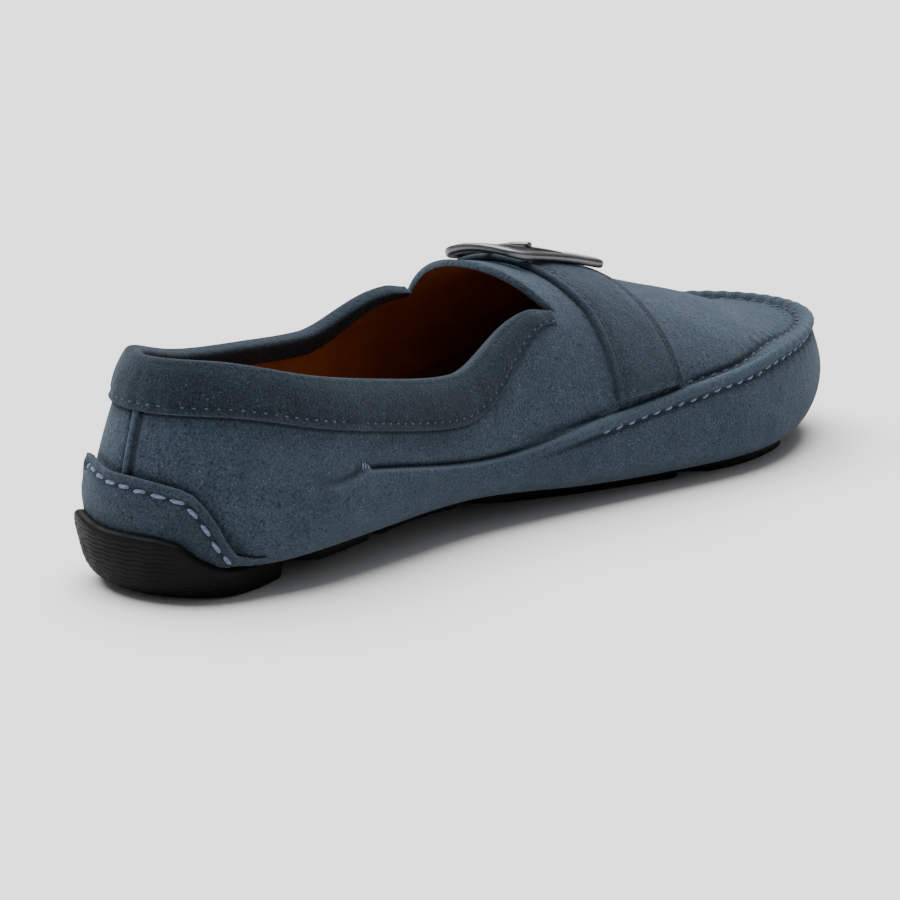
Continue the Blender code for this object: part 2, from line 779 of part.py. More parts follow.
def make_strap(material):
    """Suede strap over the vamp, seam to seam."""
    across = [-STRAP_SPAN, -0.86, -0.70, -0.45, -0.22, 0.0, 0.22, 0.45, 0.70, 0.86, STRAP_SPAN]
    under = []
    over = []
    for i in range(5):
        angle = angle_at(STRAP_FROM + (STRAP_TO - STRAP_FROM) * i / 4)
        under.append([vamp_offset(angle, u, GAP) for u in across])
        over.append([vamp_offset(angle, u, GAP + STRAP_THICK) for u in across])
    return slab("strap", under, over, material)


def make_buckle(material):
    """Plain rectangular frame with a centre bar, bowed to lie on the strap."""
    rest = GAP + STRAP_THICK + GAP
    middle = (STRAP_FROM + STRAP_TO) / 2
    half_length = BUCKLE_LENGTH / 2
    half_width = BUCKLE_WIDTH / 2
    span = vamp_point(angle_at(middle), 0.9)[1] - vamp_point(angle_at(middle), -0.9)[1]

    def place(along, sideways, out):
        across = 1.8 * (sideways + BUCKLE_SHIFT) / span
        return vamp_offset(angle_at(middle + along), across, out)

    lengths = [-half_length, -half_length + BUCKLE_BAR, -half_length / 3, half_length / 3,
               half_length - BUCKLE_BAR, half_length]
    widths = [-half_width, -half_width + BUCKLE_BAR, -BUCKLE_BAR / 2, BUCKLE_BAR / 2,
              half_width - BUCKLE_BAR, half_width]
    filled = set()
    for i in range(5):
        for j in range(5):
            if i in (0, 4) or j in (0, 2, 4):
                filled.add((i, j))
    points = []
    for out in (rest, rest + BUCKLE_THICK):
        for a in lengths:
            for w in widths:
                points.append(place(a, w, out))
    count = len(lengths) * len(widths)
    columns = len(widths)
    faces = []
    for i, j in sorted(filled):
        a = i * columns + j
        corner = (a, a + 1, a + columns + 1, a + columns)
        faces.append(corner)
        faces.append(tuple(c + count for c in corner[::-1]))
        beside = ((i - 1, j, corner[0], corner[1]), (i, j + 1, corner[1], corner[2]),
                  (i + 1, j, corner[2], corner[3]), (i, j - 1, corner[3], corner[0]))
        for row, column, first, second in beside:
            if (row, column) not in filled:
                faces.append((first, second, second + count, first + count))
    return add_object("buckle", points, faces, material)


def centre_on_floor(pieces):
    """Move every mesh so that the shoe's box stands centred on the origin."""
    bpy.context.view_layer.update()
    solid = [p for p in pieces if not p.hide_render]
    corners = np.array([v.co for p in solid for v in p.data.vertices])
    low = corners.min(axis=0)
    high = corners.max(axis=0)
    shift = Vector((-(low[0] + high[0]) / 2, -(low[1] + high[1]) / 2, -low[2]))
    for piece in pieces:
        piece.data.transform(Matrix.Translation(shift))


def build():
    for old in list(bpy.data.objects):
        bpy.data.objects.remove(old, do_unlink=True)
    suede = make_material("suede", COLOURS["suede"], 0.95)
    band = make_material("suede_band", COLOURS["suede_band"], 0.95)
    rubber = make_material("rubber", COLOURS["rubber"], 0.7)
    lining = make_material("lining", COLOURS["lining"], 0.6)
    metal = make_material("gunmetal", COLOURS["gunmetal"], 0.35, 1.0)
    upper = make_upper(suede)
    cutter = make_window_cutter(suede)
    windows = upper.modifiers.new("windows", "BOOLEAN")
    windows.operation = "DIFFERENCE"
    windows.solver = "EXACT"
    windows.object = cutter
    pieces = [upper, cutter]
    pieces += [make_tread(row, rubber) for row in TREADS]
    pieces.append(make_heel_rubber(rubber))
    pieces.append(make_insole(lining))
    pieces.append(make_collar(band))
    pieces.append(make_heel_wrap(suede))
    pieces.append(make_back_seam(suede))
    pieces.append(make_strap(band))
    pieces.append(make_buckle(metal))
    centre_on_floor(pieces)


build()
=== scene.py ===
"""Looks of the left driving loafer: suede, rubber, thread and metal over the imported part."""

from contextlib import contextmanager
from math import pi, radians, tau

import bmesh
import bpy
import numpy as np
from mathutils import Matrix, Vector
from mathutils.bvhtree import BVHTree
from mathutils.geometry import delaunay_2d_cdt


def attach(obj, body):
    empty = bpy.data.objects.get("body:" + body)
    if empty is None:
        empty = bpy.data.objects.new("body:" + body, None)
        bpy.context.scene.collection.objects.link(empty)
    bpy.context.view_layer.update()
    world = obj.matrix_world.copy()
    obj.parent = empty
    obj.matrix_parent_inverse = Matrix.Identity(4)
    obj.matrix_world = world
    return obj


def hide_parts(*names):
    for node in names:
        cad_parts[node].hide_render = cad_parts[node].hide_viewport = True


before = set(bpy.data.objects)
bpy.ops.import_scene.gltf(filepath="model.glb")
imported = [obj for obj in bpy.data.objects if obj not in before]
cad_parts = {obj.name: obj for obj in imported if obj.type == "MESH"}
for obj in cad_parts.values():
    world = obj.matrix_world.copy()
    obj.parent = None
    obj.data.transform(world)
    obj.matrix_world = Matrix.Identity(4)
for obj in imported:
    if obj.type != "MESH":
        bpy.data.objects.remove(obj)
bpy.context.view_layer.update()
bpy.ops.object.select_all(action="DESELECT")

MM = 0.001

# Last and cut pieces, in millimetres from the heel's back; SHIFT moves them to the part's own frame
LENGTH = 286.0
SHIFT = np.array([-140.823, -0.698, 0.0])
WALL = 2.0
THROAT = 146.0
OPEN_FROM = 100.0
WALL_POWER = 1.3
SEAM_POWER = 1.7
VAMP_POWER = 2.2
TONGUE_REACH = 7.0
TONGUE_FADE = 30.0
SEAM_LIP = 1.0
TREAD_DROP = 4.6
TREAD_EDGE = 1.5
WINDOW_CLEAR = 0.7
MEDIAL = -1
LATERAL = 1

SECTION_COLUMNS = ("x", "width", "centre", "sole", "edge_medial", "edge_lateral", "recess", "bulge",
                   "seam", "seam_inset", "rim_medial", "rim_lateral", "lean", "crest", "round")
SECTIONS = (
    (0, 0, 0.0, 11.0, 6.0, 6.0, 0.0, 22.0, 30.0, 0.5, 59.6, 59.6, 10.2, 80, 0.50),
    (12, 48, 0.0, 8.8, 6.0, 6.0, 0.0, 22.0, 30.0, 0.5, 58.8, 58.8, 11.0, 80, 0.50),
    (40, 69, 0.0, 8.0, 8.5, 6.0, 0.8, 20.5, 29.8, 0.6, 53.2, 53.0, 9.8, 78, 0.50),
    (75, 70, 1.5, 8.0, 11.0, 5.8, 1.7, 19.5, 25.1, 0.6, 46.4, 49.0, 7.0, 75, 0.50),
    (110, 73, 3.8, 8.2, 9.6, 5.6, 6.0, 17.5, 20.7, 1.0, 43.6, 47.5, 7.0, 73, 0.50),
    (145, 84, 3.5, 5.4, 9.8, 5.5, 6.0, 16.0, 23.4, 2.0, 52.0, 53.0, 12.0, 68, 0.55),
    (180, 94, 2.4, 4.0, 9.0, 5.5, 3.0, 15.5, 27.6, 3.5, 52.0, 52.0, 12.0, 60, 0.65),
    (212, 99, 0.5, 4.0, 8.0, 5.5, 0.5, 15.0, 30.8, 4.6, 52.0, 52.0, 12.0, 51.5, 0.75),
    (242, 88, -0.6, 4.8, 7.0, 5.5, 0.0, 16.0, 33.2, 4.0, 52.0, 52.0, 12.0, 44.6, 0.85),
    (266, 64, -2.0, 7.6, 6.5, 6.0, 0.0, 19.0, 34.4, 4.0, 52.0, 52.0, 12.0, 39.4, 0.95),
    (278, 43, -3.0, 9.8, 6.0, 6.0, 0.0, 20.8, 34.8, 5.0, 52.0, 52.0, 12.0, 37.4, 1.00),
    (286, 0, -3.5, 11.5, 6.0, 6.0, 0.0, 22.0, 35.0, 6.0, 52.0, 52.0, 12.0, 35.2, 1.00),
)

# Top edges of the heel wrap and of the heel rubber, by distance from the heel's back
HEEL_X = (0.0, 2.5, 5.0, 7.0, 9.0, 11.0, 13.0, 15.0, 20.0, 30.0, 62.0)
WRAP_TOP = {
    MEDIAL: (32.0, 30.8, 29.7, 28.2, 25.0, 21.4, 16.8, 13.8, 12.2, 11.0, 10.6),
    LATERAL: (32.0, 33.2, 33.5, 33.0, 31.6, 28.4, 23.4, 18.6, 13.6, 11.4, 10.6),
}
RUBBER_TOP = {
    MEDIAL: (18.4, 17.9, 16.4, 13.3, 11.2, 10.2, 9.6, 9.3, 9.0, 8.9, 8.9),
    LATERAL: (18.4, 19.6, 20.0, 19.0, 16.6, 13.8, 11.6, 10.2, 9.2, 8.9, 8.9),
}

# Treads of the diagonal weave: limits on x + y and on x - y, and which way their ridges run
FAR = 400.0
TREADS = (
    ("tread_toe", 221.0, FAR, 233.0, FAR, 0.6),
    ("tread_outer_ball", 226.0, FAR, 178.0, 224.0, 0.15),
    ("tread_inner_ball", 167.0, 210.0, 173.0, FAR, 1.25),
    ("tread_outer_joint", 168.0, FAR, 113.0, 165.0, 0.15),
    ("tread_inner_joint", 109.0, 158.0, 113.0, FAR, 1.25),
    ("tread_outer_waist", 108.0, FAR, 58.0, 105.0, 0.15),
    ("tread_inner_waist", 61.0, 100.0, 61.0, FAR, 1.25),
    ("tread_outer_shank", 63.0, FAR, 18.0, 51.0, 0.15),
    ("tread_inner_shank", 27.0, 54.0, 21.0, FAR, 1.25),
)
HEEL_SUM = 19.0
HEEL_DIFFERENCE = 12.0


def natural_spline(xs, ys):
    """Smooth curve through the rows of a short table, for whole arrays at once."""
    xs = np.asarray(xs, float)
    ys = np.asarray(ys, float)
    count = len(xs)
    step = np.diff(xs)
    matrix = np.eye(count)
    right = np.zeros(count)
    for i in range(1, count - 1):
        matrix[i, i - 1:i + 2] = step[i - 1], 2 * (step[i - 1] + step[i]), step[i]
        right[i] = 6 * ((ys[i + 1] - ys[i]) / step[i] - (ys[i] - ys[i - 1]) / step[i - 1])
    bend = np.linalg.solve(matrix, right)

    def value(x):
        x = np.clip(np.asarray(x, float), xs[0], xs[-1])
        i = np.clip(np.searchsorted(xs, x) - 1, 0, count - 2)
        before = x - xs[i]
        after = xs[i + 1] - x
        h = step[i]
        cubic = (bend[i] * after ** 3 + bend[i + 1] * before ** 3) / (6 * h)
        return cubic + (ys[i] / h - bend[i] * h / 6) * after + (ys[i + 1] / h - bend[i + 1] * h / 6) * before

    return value


def smoothstep(share):
    share = np.clip(share, 0.0, 1.0)
    return share * share * (3 - 2 * share)


def hump(distance, half):
    """Bell that is 1 at no distance and fades over a half width."""
    return np.exp(-(distance / half) ** 2)


def angle_at(x):
    return np.arccos(np.clip(1 - 2 * np.asarray(x, float) / LENGTH, -1, 1))


def distance_at(angle):
    return LENGTH / 2 * (1 - np.cos(angle))


SECTION_X = [row[0] for row in SECTIONS]
CURVES = {
    name: natural_spline(SECTION_X, [row[i] for row in SECTIONS])
    for i, name in enumerate(SECTION_COLUMNS) if i > 1
}
WIDTH = natural_spline([angle_at(x) for x in SECTION_X], [row[1] for row in SECTIONS])


def reading(name, angle):
    return CURVES[name](distance_at(angle))


def side_reading(name, side, angle):
    return reading(name + ("_medial" if side == MEDIAL else "_lateral"), angle)


def outline(side, angle):
    """Widest contour seen from above."""
    half = np.maximum(WIDTH(angle), 0.0) / 2
    return np.stack([distance_at(angle), reading("centre", angle) + side * half], axis=-1)


def outline_normal(side, angle):
    angle = np.asarray(angle, float)
    reach = 0.002
    along = outline(side, np.minimum(angle + reach, pi)) - outline(side, np.maximum(angle - reach, 0.0))
    along /= np.linalg.norm(along, axis=-1, keepdims=True)
    normal = side * np.stack([-along[..., 1], along[..., 0]], axis=-1)
    normal[angle <= 0.0] = (-1.0, 0.0)
    normal[angle >= pi] = (1.0, 0.0)
    return normal


def inset_point(side, angle, inset, height):
    angle = np.asarray(angle, float)
    inset = np.broadcast_to(inset, angle.shape)
    height = np.broadcast_to(height, angle.shape)
    place = outline(side, angle) - outline_normal(side, angle) * inset[..., None]
    return np.concatenate([place, height[..., None]], axis=-1)


def front_weight(angle):
    return smoothstep((distance_at(angle) - OPEN_FROM) / (THROAT - OPEN_FROM))


def quarter_inset(side, angle, height):
    bulge = reading("bulge", angle)
    sole = reading("sole", angle)
    low = np.clip((height - sole) / (bulge - sole), 0.0, 1.0)
    under = side_reading("edge", side, angle) * (1 - np.sin(np.arccos(1 - low)))
    high = np.maximum((height - bulge) / (side_reading("rim", side, angle) - bulge), 0.0)
    return np.where(height < bulge, under, reading("lean", angle) * high ** WALL_POWER)


def quarter_point(side, angle, height, out=0.0):
    """Point on the quarter at a height, moved out along the surface's own normal."""
    inset = quarter_inset(side, angle, height)
    step = 0.5
    change = quarter_inset(side, angle, height + step) - quarter_inset(side, angle, height - step)
    slope = change / (2 * step)
    normal = outline_normal(side, angle)
    outward = np.concatenate([normal, slope[..., None]], axis=-1) / np.hypot(1.0, slope)[..., None]
    out = np.broadcast_to(out, inset.shape)
    return inset_point(side, angle, inset, height) + outward * out[..., None]


def wall_point(side, angle, share):
    """Point on the wall between its widest line, share 0, and the seam, share 1."""
    bulge = reading("bulge", angle)
    height = bulge + (reading("seam", angle) - bulge) * share
    weight = front_weight(angle)
    rear = quarter_inset(side, angle, height)
    front = reading("seam_inset", angle) * share ** SEAM_POWER
    return inset_point(side, angle, rear * (1 - weight) + front * weight, height)


def lip_point(side, angle):
    weight = front_weight(angle)[..., None]
    seam = reading("seam", angle)
    rear = inset_point(side, angle, quarter_inset(side, angle, seam + SEAM_LIP), seam + SEAM_LIP)
    front = inset_point(side, angle, reading("seam_inset", angle) + SEAM_LIP, seam + 0.2 * SEAM_LIP)
    return rear * (1 - weight) + front * weight


VAMP_CORNER = 0.70
TOP_ROW = 3
VAMP_ROWS = (1.0, 0.96, 0.86, VAMP_CORNER)


def vamp_point(angle, across):
    """Point on the closed vamp; across runs from -1 at the inner seam to 1 at the outer one."""
    angle, across = np.broadcast_arrays(np.asarray(angle, float), np.asarray(across, float))
    inner = lip_point(MEDIAL, angle)
    outer = lip_point(LATERAL, angle)
    place = (inner + outer) / 2 + (outer - inner) / 2 * across[..., None]
    rise = np.maximum(1 - np.abs(across) ** VAMP_POWER, 0.0) ** reading("round", angle)
    place[..., 2] += np.maximum(reading("crest", angle) - place[..., 2], 0.0) * rise
    near = smoothstep((THROAT + TONGUE_FADE - distance_at(angle)) / TONGUE_FADE)
    place[..., 0] -= TONGUE_REACH * near * np.maximum(1 - (across / VAMP_CORNER) ** 2, 0.0)
    return place


def vamp_offset(angle, across, out):
    """Point above the vamp along its own normal."""
    small = 0.004
    angle, across = np.broadcast_arrays(np.asarray(angle, float), np.asarray(across, float))
    along = vamp_point(angle + small, across) - vamp_point(angle - small, across)
    sideways = vamp_point(angle, across + small) - vamp_point(angle, across - small)
    normal = np.cross(along, sideways)
    normal /= np.linalg.norm(normal, axis=-1, keepdims=True)
    return vamp_point(angle, across) + normal * np.broadcast_to(out, angle.shape)[..., None]


def side_point(side, angle, row):
    """Point between the seam, row 0, and the topline or the vamp's corner, the top row."""
    angle, row = np.broadcast_arrays(np.asarray(angle, float), np.asarray(row, float))
    weight = front_weight(angle)[..., None]
    across = np.interp(row, range(TOP_ROW + 1), VAMP_ROWS)
    front = vamp_point(angle, side * across)
    foot = reading("seam", angle) + SEAM_LIP
    height = foot + (side_reading("rim", side, angle) - foot) * row / TOP_ROW
    rear = inset_point(side, angle, quarter_inset(side, angle, height), height)
    return rear * (1 - weight) + front * weight


# Node networks
class Value:
    """A socket that Python's operators join to others through Math nodes."""

    def __init__(self, finish, socket):
        self.finish = finish
        self.socket = socket

    def _join(self, operation, a, b):
        return self.finish.node("ShaderNodeMath", {"operation": operation}, {0: a, 1: b})

    def __add__(self, other):
        return self._join("ADD", self, other)

    def __radd__(self, other):
        return self._join("ADD", other, self)

    def __sub__(self, other):
        return self._join("SUBTRACT", self, other)

    def __rsub__(self, other):
        return self._join("SUBTRACT", other, self)

    def __mul__(self, other):
        return self._join("MULTIPLY", self, other)

    def __rmul__(self, other):
        return self._join("MULTIPLY", other, self)

    def __pow__(self, other):
        return self._join("POWER", self, other)


class Finish:
    """One procedural material."""

    def __init__(self, name, **constants):
        self.material = bpy.data.materials.new(name)
        self.material.use_nodes = True
        self.tree = self.material.node_tree
        self.shader = self.tree.nodes["Principled BSDF"]
        for socket, value in constants.items():
            self.shader.inputs[socket.replace("_", " ")].default_value = value
        self.place = self.node("ShaderNodeTexCoord", {}, {}, "Object")

    def node(self, kind, settings, inputs, output=0):
        """Add a node, set it, feed it, and give back one of its outputs."""
        made = self.tree.nodes.new(kind)
        for key, value in settings.items():
            if key == "stops":
                ramp = made.color_ramp.elements
                while len(ramp) < len(value):
                    ramp.new(0.5)
                for element, (position, colour) in zip(ramp, value):
                    element.position = position
                    element.color = colour
            else:
                setattr(made, key, value)
        for key, value in inputs.items():
            if isinstance(value, Value):
                self.tree.links.new(value.socket, made.inputs[key])
            else:
                made.inputs[key].default_value = value
        return Value(self, made.outputs[output])

    def noise(self, size_mm, detail=2.0, rough=0.5, stretch=None, place=None):
        """Noise of a real size, in millimetres."""
        place = place or self.place
        if stretch:
            place = self.node("ShaderNodeMapping", {}, {"Vector": place, "Scale": stretch})
        return self.node("ShaderNodeTexNoise", {},
                         {"Vector": place, "Scale": 1000.0 / size_mm, "Detail": detail, "Roughness": rough})

    def ramp(self, factor, low, high):
        """0 below low, 1 above high."""
        return self.node("ShaderNodeMapRange", {"interpolation_type": "SMOOTHSTEP"},
                         {0: factor, 1: low, 2: high})

    def mix(self, factor, a, b):
        return self.node("ShaderNodeMix", {"data_type": "RGBA"}, {0: factor, 6: a, 7: b}, 2)

    def attribute(self, name):
        return self.node("ShaderNodeAttribute", {"attribute_name": name}, {}, "Fac")

    def bump(self, height, strength, distance_mm, under=None):
        feeds = {"Height": height, "Strength": strength, "Distance": distance_mm * MM}
        if under:
            feeds["Normal"] = under
        return self.node("ShaderNodeBump", {}, feeds)

    def feed(self, **sockets):
        for name, value in sockets.items():
            self.tree.links.new(value.socket, self.shader.inputs[name.replace("_", " ")])
        return self.material


def rgba(r, g, b):
    return (r, g, b, 1.0)


def suede(name, shade, pale, dark):
    """Napped suede: brushed patches, short fibres and a soft bloom."""
    finish = Finish(name, Roughness=1.0, Specular_IOR_Level=0.08, Sheen_Weight=0.14, Sheen_Roughness=0.5,
                    Sheen_Tint=rgba(0.6, 0.7, 0.82))
    patches = finish.ramp(finish.noise(19.0, 3.0, 0.6), 0.36, 0.66)
    strokes = finish.ramp(finish.noise(3.6, 3.0, 0.62, (1.0, 1.0, 0.5)), 0.34, 0.68)
    fibres = finish.noise(0.68, 2.0, 0.7)
    specks = finish.ramp(finish.noise(0.46, 1.0, 0.5), 0.59, 0.70)
    pits = finish.ramp(finish.noise(0.85, 1.0, 0.5), 0.58, 0.70)
    clumps = finish.ramp(finish.noise(5.5, 3.0, 0.65), 0.36, 0.64)
    worn = finish.attribute("worn")
    deep = finish.attribute("deep")
    colour = finish.mix(patches * 0.42 + strokes * 0.42, rgba(*shade), rgba(*pale))
    colour = finish.mix(finish.ramp(fibres, 0.40, 0.62) * 0.55, colour, rgba(*dark))
    colour = finish.mix(specks * (clumps * 0.38 + 0.14), colour, rgba(*[1.6 * c + 0.04 for c in pale]))
    colour = finish.mix(pits * 0.6, colour, rgba(*[0.5 * c for c in dark]))
    # Painted highlight on crests, edges and lips, together with rubbed wear, lightens the suede here
    colour = finish.mix(worn * 0.5, colour, rgba(*[1.6 * c for c in pale]))
    # Painted shade darkens grooves, slits, the undersides of edges and hidden faces
    colour = finish.mix(deep * 0.8, colour, rgba(*[0.22 * c for c in dark]))
    soft = finish.bump(strokes, 0.3, 0.4)
    nap = finish.bump(fibres + specks * 0.5 - pits * 0.6, 0.7, 0.32, soft)
    return finish.feed(Base_Color=colour, Normal=nap)


def rubber(name):
    """Moulded black rubber with a fine matt skin and dust specks; ridge crests and rims lighter with painted
    highlight and wear.
    """
    finish = Finish(name, Specular_IOR_Level=0.09)
    cloud = finish.ramp(finish.noise(9.0, 3.0, 0.6), 0.4, 0.7)
    skin = finish.noise(0.5, 2.0, 0.6)
    dust = finish.ramp(finish.noise(0.8, 2.0, 0.6), 0.66, 0.78)
    worn = finish.attribute("worn")
    colour = finish.mix(cloud * 0.5, rgba(0.0030, 0.0030, 0.0031), rgba(0.0056, 0.0055, 0.0053))
    # Painted highlight with wear, where the mark is set on crests and rims
    colour = finish.mix(worn * 0.5, colour, rgba(0.017, 0.0165, 0.0158))
    colour = finish.mix(dust * 0.16, colour, rgba(0.09, 0.088, 0.085))
    grain = finish.bump(skin, 0.35, 0.12)
    return finish.feed(Base_Color=colour, Roughness=0.56 + cloud * 0.16 + dust * 0.15, Normal=grain)


def smooth_leather(name, shade, dark, pale):
    """Lining leather with pores, creases of the grain and rubbed patches."""
    finish = Finish(name, Specular_IOR_Level=0.35)
    cloud = finish.ramp(finish.noise(14.0, 4.0, 0.6), 0.3, 0.72)
    cells = finish.node("ShaderNodeTexVoronoi", {"feature": "DISTANCE_TO_EDGE"},
                        {"Vector": finish.place, "Scale": 1000.0 / 0.9})
    pebble = finish.ramp(cells, 0.0, 0.22)
    pores = finish.ramp(finish.noise(0.45, 1.0, 0.5), 0.64, 0.74)
    deep = finish.attribute("deep")
    colour = finish.mix(cloud * 0.6, rgba(*shade), rgba(*pale))
    colour = finish.mix((1 - pebble) * 0.35, colour, rgba(*dark))
    colour = finish.mix(pores * 0.4, colour, rgba(*dark))
    # Painted shade darkens the leather, heavily in the tread windows where the tan edge lies hidden
    colour = finish.mix(deep * 0.7, colour, rgba(*[0.35 * c for c in dark]))
    grain = finish.bump(pebble - pores * 0.5, 0.3, 0.12)
    return finish.feed(Base_Color=colour, Roughness=0.46 + cloud * 0.14, Normal=grain)


def thread(name, shade, pale):
    """Waxed thread, its twist a fine slanted wave."""
    finish = Finish(name, Specular_IOR_Level=0.3, Sheen_Weight=0.15)
    twist = finish.node("ShaderNodeTexWave", {"bands_direction": "DIAGONAL"},
                        {"Vector": finish.place, "Scale": 1000.0 / 2.6, "Distortion": 2.0, "Detail": 1.0}, 1)
    fuzz = finish.noise(0.35, 2.0, 0.6)
    colour = finish.mix(twist * 0.6 + fuzz * 0.3, rgba(*shade), rgba(*pale))
    ply = finish.bump(twist + fuzz * 0.5, 0.5, 0.15)
    return finish.feed(Base_Color=colour, Roughness=0.62 + fuzz * 0.2, Normal=ply)


def gunmetal(name):
    """Dark plated metal, brushed along the shoe, bright where it rubs."""
    finish = Finish(name, Metallic=1.0)
    brush = finish.noise(0.9, 3.0, 0.6, (0.06, 1.0, 1.0))
    smear = finish.ramp(finish.noise(7.0, 3.0, 0.6), 0.4, 0.7)
    worn = finish.attribute("worn")
    colour = finish.mix(smear * 0.5, rgba(0.085, 0.087, 0.093), rgba(0.15, 0.15, 0.156))
    colour = finish.mix(worn * 0.7, colour, rgba(0.42, 0.41, 0.40))
    line = finish.bump(brush, 0.12, 0.05)
    return finish.feed(Base_Color=colour, Roughness=0.27 + brush * 0.16 + smear * 0.08, Normal=line)


SUEDE = suede("suede", (0.032, 0.048, 0.067), (0.050, 0.071, 0.095), (0.0145, 0.0225, 0.0325))
BAND = suede("suede_band", (0.0134, 0.0204, 0.0287), (0.0226, 0.0322, 0.0436), (0.0065, 0.0102, 0.0150))
# Darker copy of the upper's suede for the strap and the heel flap; its extra darkness is painted shade
SUEDE_PAINTED_SHADE = suede("suede_strap_painted_shade", (0.0220, 0.0330, 0.0460), (0.0350, 0.0496, 0.0662), (0.0101, 0.0156, 0.0230))
RUBBER = rubber("rubber")
LINING = smooth_leather("lining", (0.23, 0.080, 0.024), (0.09, 0.028, 0.008), (0.34, 0.135, 0.045))
TAN_EDGE = smooth_leather("tan_edge", (0.27, 0.125, 0.048), (0.12, 0.05, 0.018), (0.38, 0.20, 0.085))
PALE_THREAD = thread("pale_thread", (0.075, 0.108, 0.180), (0.175, 0.230, 0.335))
BAND_THREAD = thread("band_thread", (0.038, 0.056, 0.084), (0.080, 0.110, 0.155))
DARK_THREAD = thread("dark_thread", (0.010, 0.016, 0.027), (0.024, 0.036, 0.056))
GUNMETAL = gunmetal("gunmetal")


# Meshes
NO_LENGTH = 1e-7
GRID_WELD = 0.02


def add_piece(name, points, faces, material, marks=None):
    """Object from points in millimetres; marks are point attributes read by the finishes."""
    mesh = bpy.data.meshes.new(name)
    mesh.from_pydata(((np.asarray(points) + SHIFT) * MM).tolist(), [], [tuple(f) for f in faces])
    for key, values in (marks or {}).items():
        layer = mesh.attributes.new(key, "FLOAT", "POINT")
        layer.data.foreach_set("value", np.asarray(values, np.float32))
    piece = bpy.data.objects.new(name, mesh)
    bpy.context.scene.collection.objects.link(piece)
    mesh.materials.append(material)
    mesh.shade_smooth()
    return piece


@contextmanager
def editing(piece):
    """The piece's mesh, open for editing and written back at the end."""
    work = bmesh.new()
    work.from_mesh(piece.data)
    yield work
    work.to_mesh(piece.data)
    work.free()


def weld(work, distance_mm):
    """Join what meets and drop the faces that this leaves without area."""
    bmesh.ops.remove_doubles(work, verts=work.verts, dist=distance_mm * MM)
    bmesh.ops.dissolve_degenerate(work, edges=work.edges, dist=NO_LENGTH)


def tidy(piece, distance_mm=0.01):
    """Weld what meets and turn the faces out."""
    with editing(piece) as work:
        weld(work, distance_mm)
        bmesh.ops.recalc_face_normals(work, faces=work.faces)


def grid_faces(rows, columns, start=0):
    i, j = np.meshgrid(np.arange(rows - 1), np.arange(columns - 1), indexing="ij")
    a = start + i * columns + j
    return np.stack([a, a + 1, a + columns + 1, a + columns], axis=-1).reshape(-1, 4).tolist()


def join_grids(grids):
    """Points and faces of several grids in one mesh."""
    points = []
    faces = []
    count = 0
    for grid in grids:
        rows, columns = grid.shape[:2]
        points.append(grid.reshape(-1, 3))
        faces.extend(grid_faces(rows, columns, count))
        count += rows * columns
    return np.concatenate(points), faces


def closed_loops(loops):
    """Faces over a run of closed loops of equal length, capped at both ends."""
    rows, columns = loops.shape[:2]
    faces = []
    for i in range(rows - 1):
        for j in range(columns):
            k = (j + 1) % columns
            faces.append((i * columns + j, i * columns + k, (i + 1) * columns + k, (i + 1) * columns + j))
    faces.append(tuple(range(columns)))
    faces.append(tuple((rows - 1) * columns + j for j in range(columns)))
    return faces


def lengths_along(points):
    """Running length along the last but one axis."""
    steps = np.linalg.norm(np.diff(points, axis=-2), axis=-1)
    zero = np.zeros(steps.shape[:-1] + (1,))
    return np.concatenate([zero, np.cumsum(steps, axis=-1)], axis=-1)


def surface_of(piece):
    """Search tree over a finished piece."""
    work = bmesh.new()
    work.from_mesh(piece.data)
    tree = BVHTree.FromBMesh(work)
    work.free()
    return tree


# Collar band: its width, the depth of its stitches and how it narrows towards the throat's corners
BAND_HEIGHT = 12.0
BAND_STITCH = 10.1
BAND_NARROW = 0.68
BAND_NARROW_FROM = 112.0
BAND_NARROW_RUN = 29.0


def band_share(x):
    """Share of the band's full width at a distance from the heel's back."""
    return 1 - BAND_NARROW * smoothstep((x - BAND_NARROW_FROM) / BAND_NARROW_RUN)


# Rolled seam of the front, tucked away under the strap and puckered round the toe
ROLL_FROM = 112.0
ROLL_RUN = 40.0
ROLL_HALF = 2.3
ROLL_HIGH = 1.7
ROLL_TOE = 0.9
ROLL_SHIFT = 1.0
GROOVE = 3.0
TUCK_FROM = 150.0
TUCK_TO = 186.0
TUCK_RUN = 6.0
TOE_FROM = 205.0
TOE_FADE = 30.0
PUCKER = 5.0
SINK_FROM = 222.0
SINK_RUN = 34.0
APRON_SINK = 1.6
TIP_POLE = 0.75

# Lapped seam behind it, which starts at a dart
LAP_HIGH = 1.55
DART = 56.0
DART_RUN = 9.0

# Fold that runs back from the dart: distance from the heel's back and height
FOLD_HIGH = 1.9
FOLD_LINE = (
    (30.0, 28.2), (36.0, 27.8), (40.8, 27.3), (45.6, 27.0), (50.0, 27.4), (53.6, 28.2), (56.5, 29.4),
)

# Soft creases of the quarters: distance from the heel's back, height, slope, half width and depth
CREASE_REACH = 17.0
CREASES = (
    (70.0, 36.0, 0.28, 3.0, 0.35),
    (88.0, 33.5, 0.22, 3.4, 0.4),
    (44.0, 38.0, -0.3, 4.5, 0.28),
    (105.0, 18.0, 0.1, 3.0, 0.3),
    (34.0, 19.0, 0.2, 4.0, 0.25),
)
TRENCH_ASIDE = 1.75


def toe_share(x):
    """How far the round of the toe has set in."""
    return smoothstep((x - TOE_FROM) / TOE_FADE)


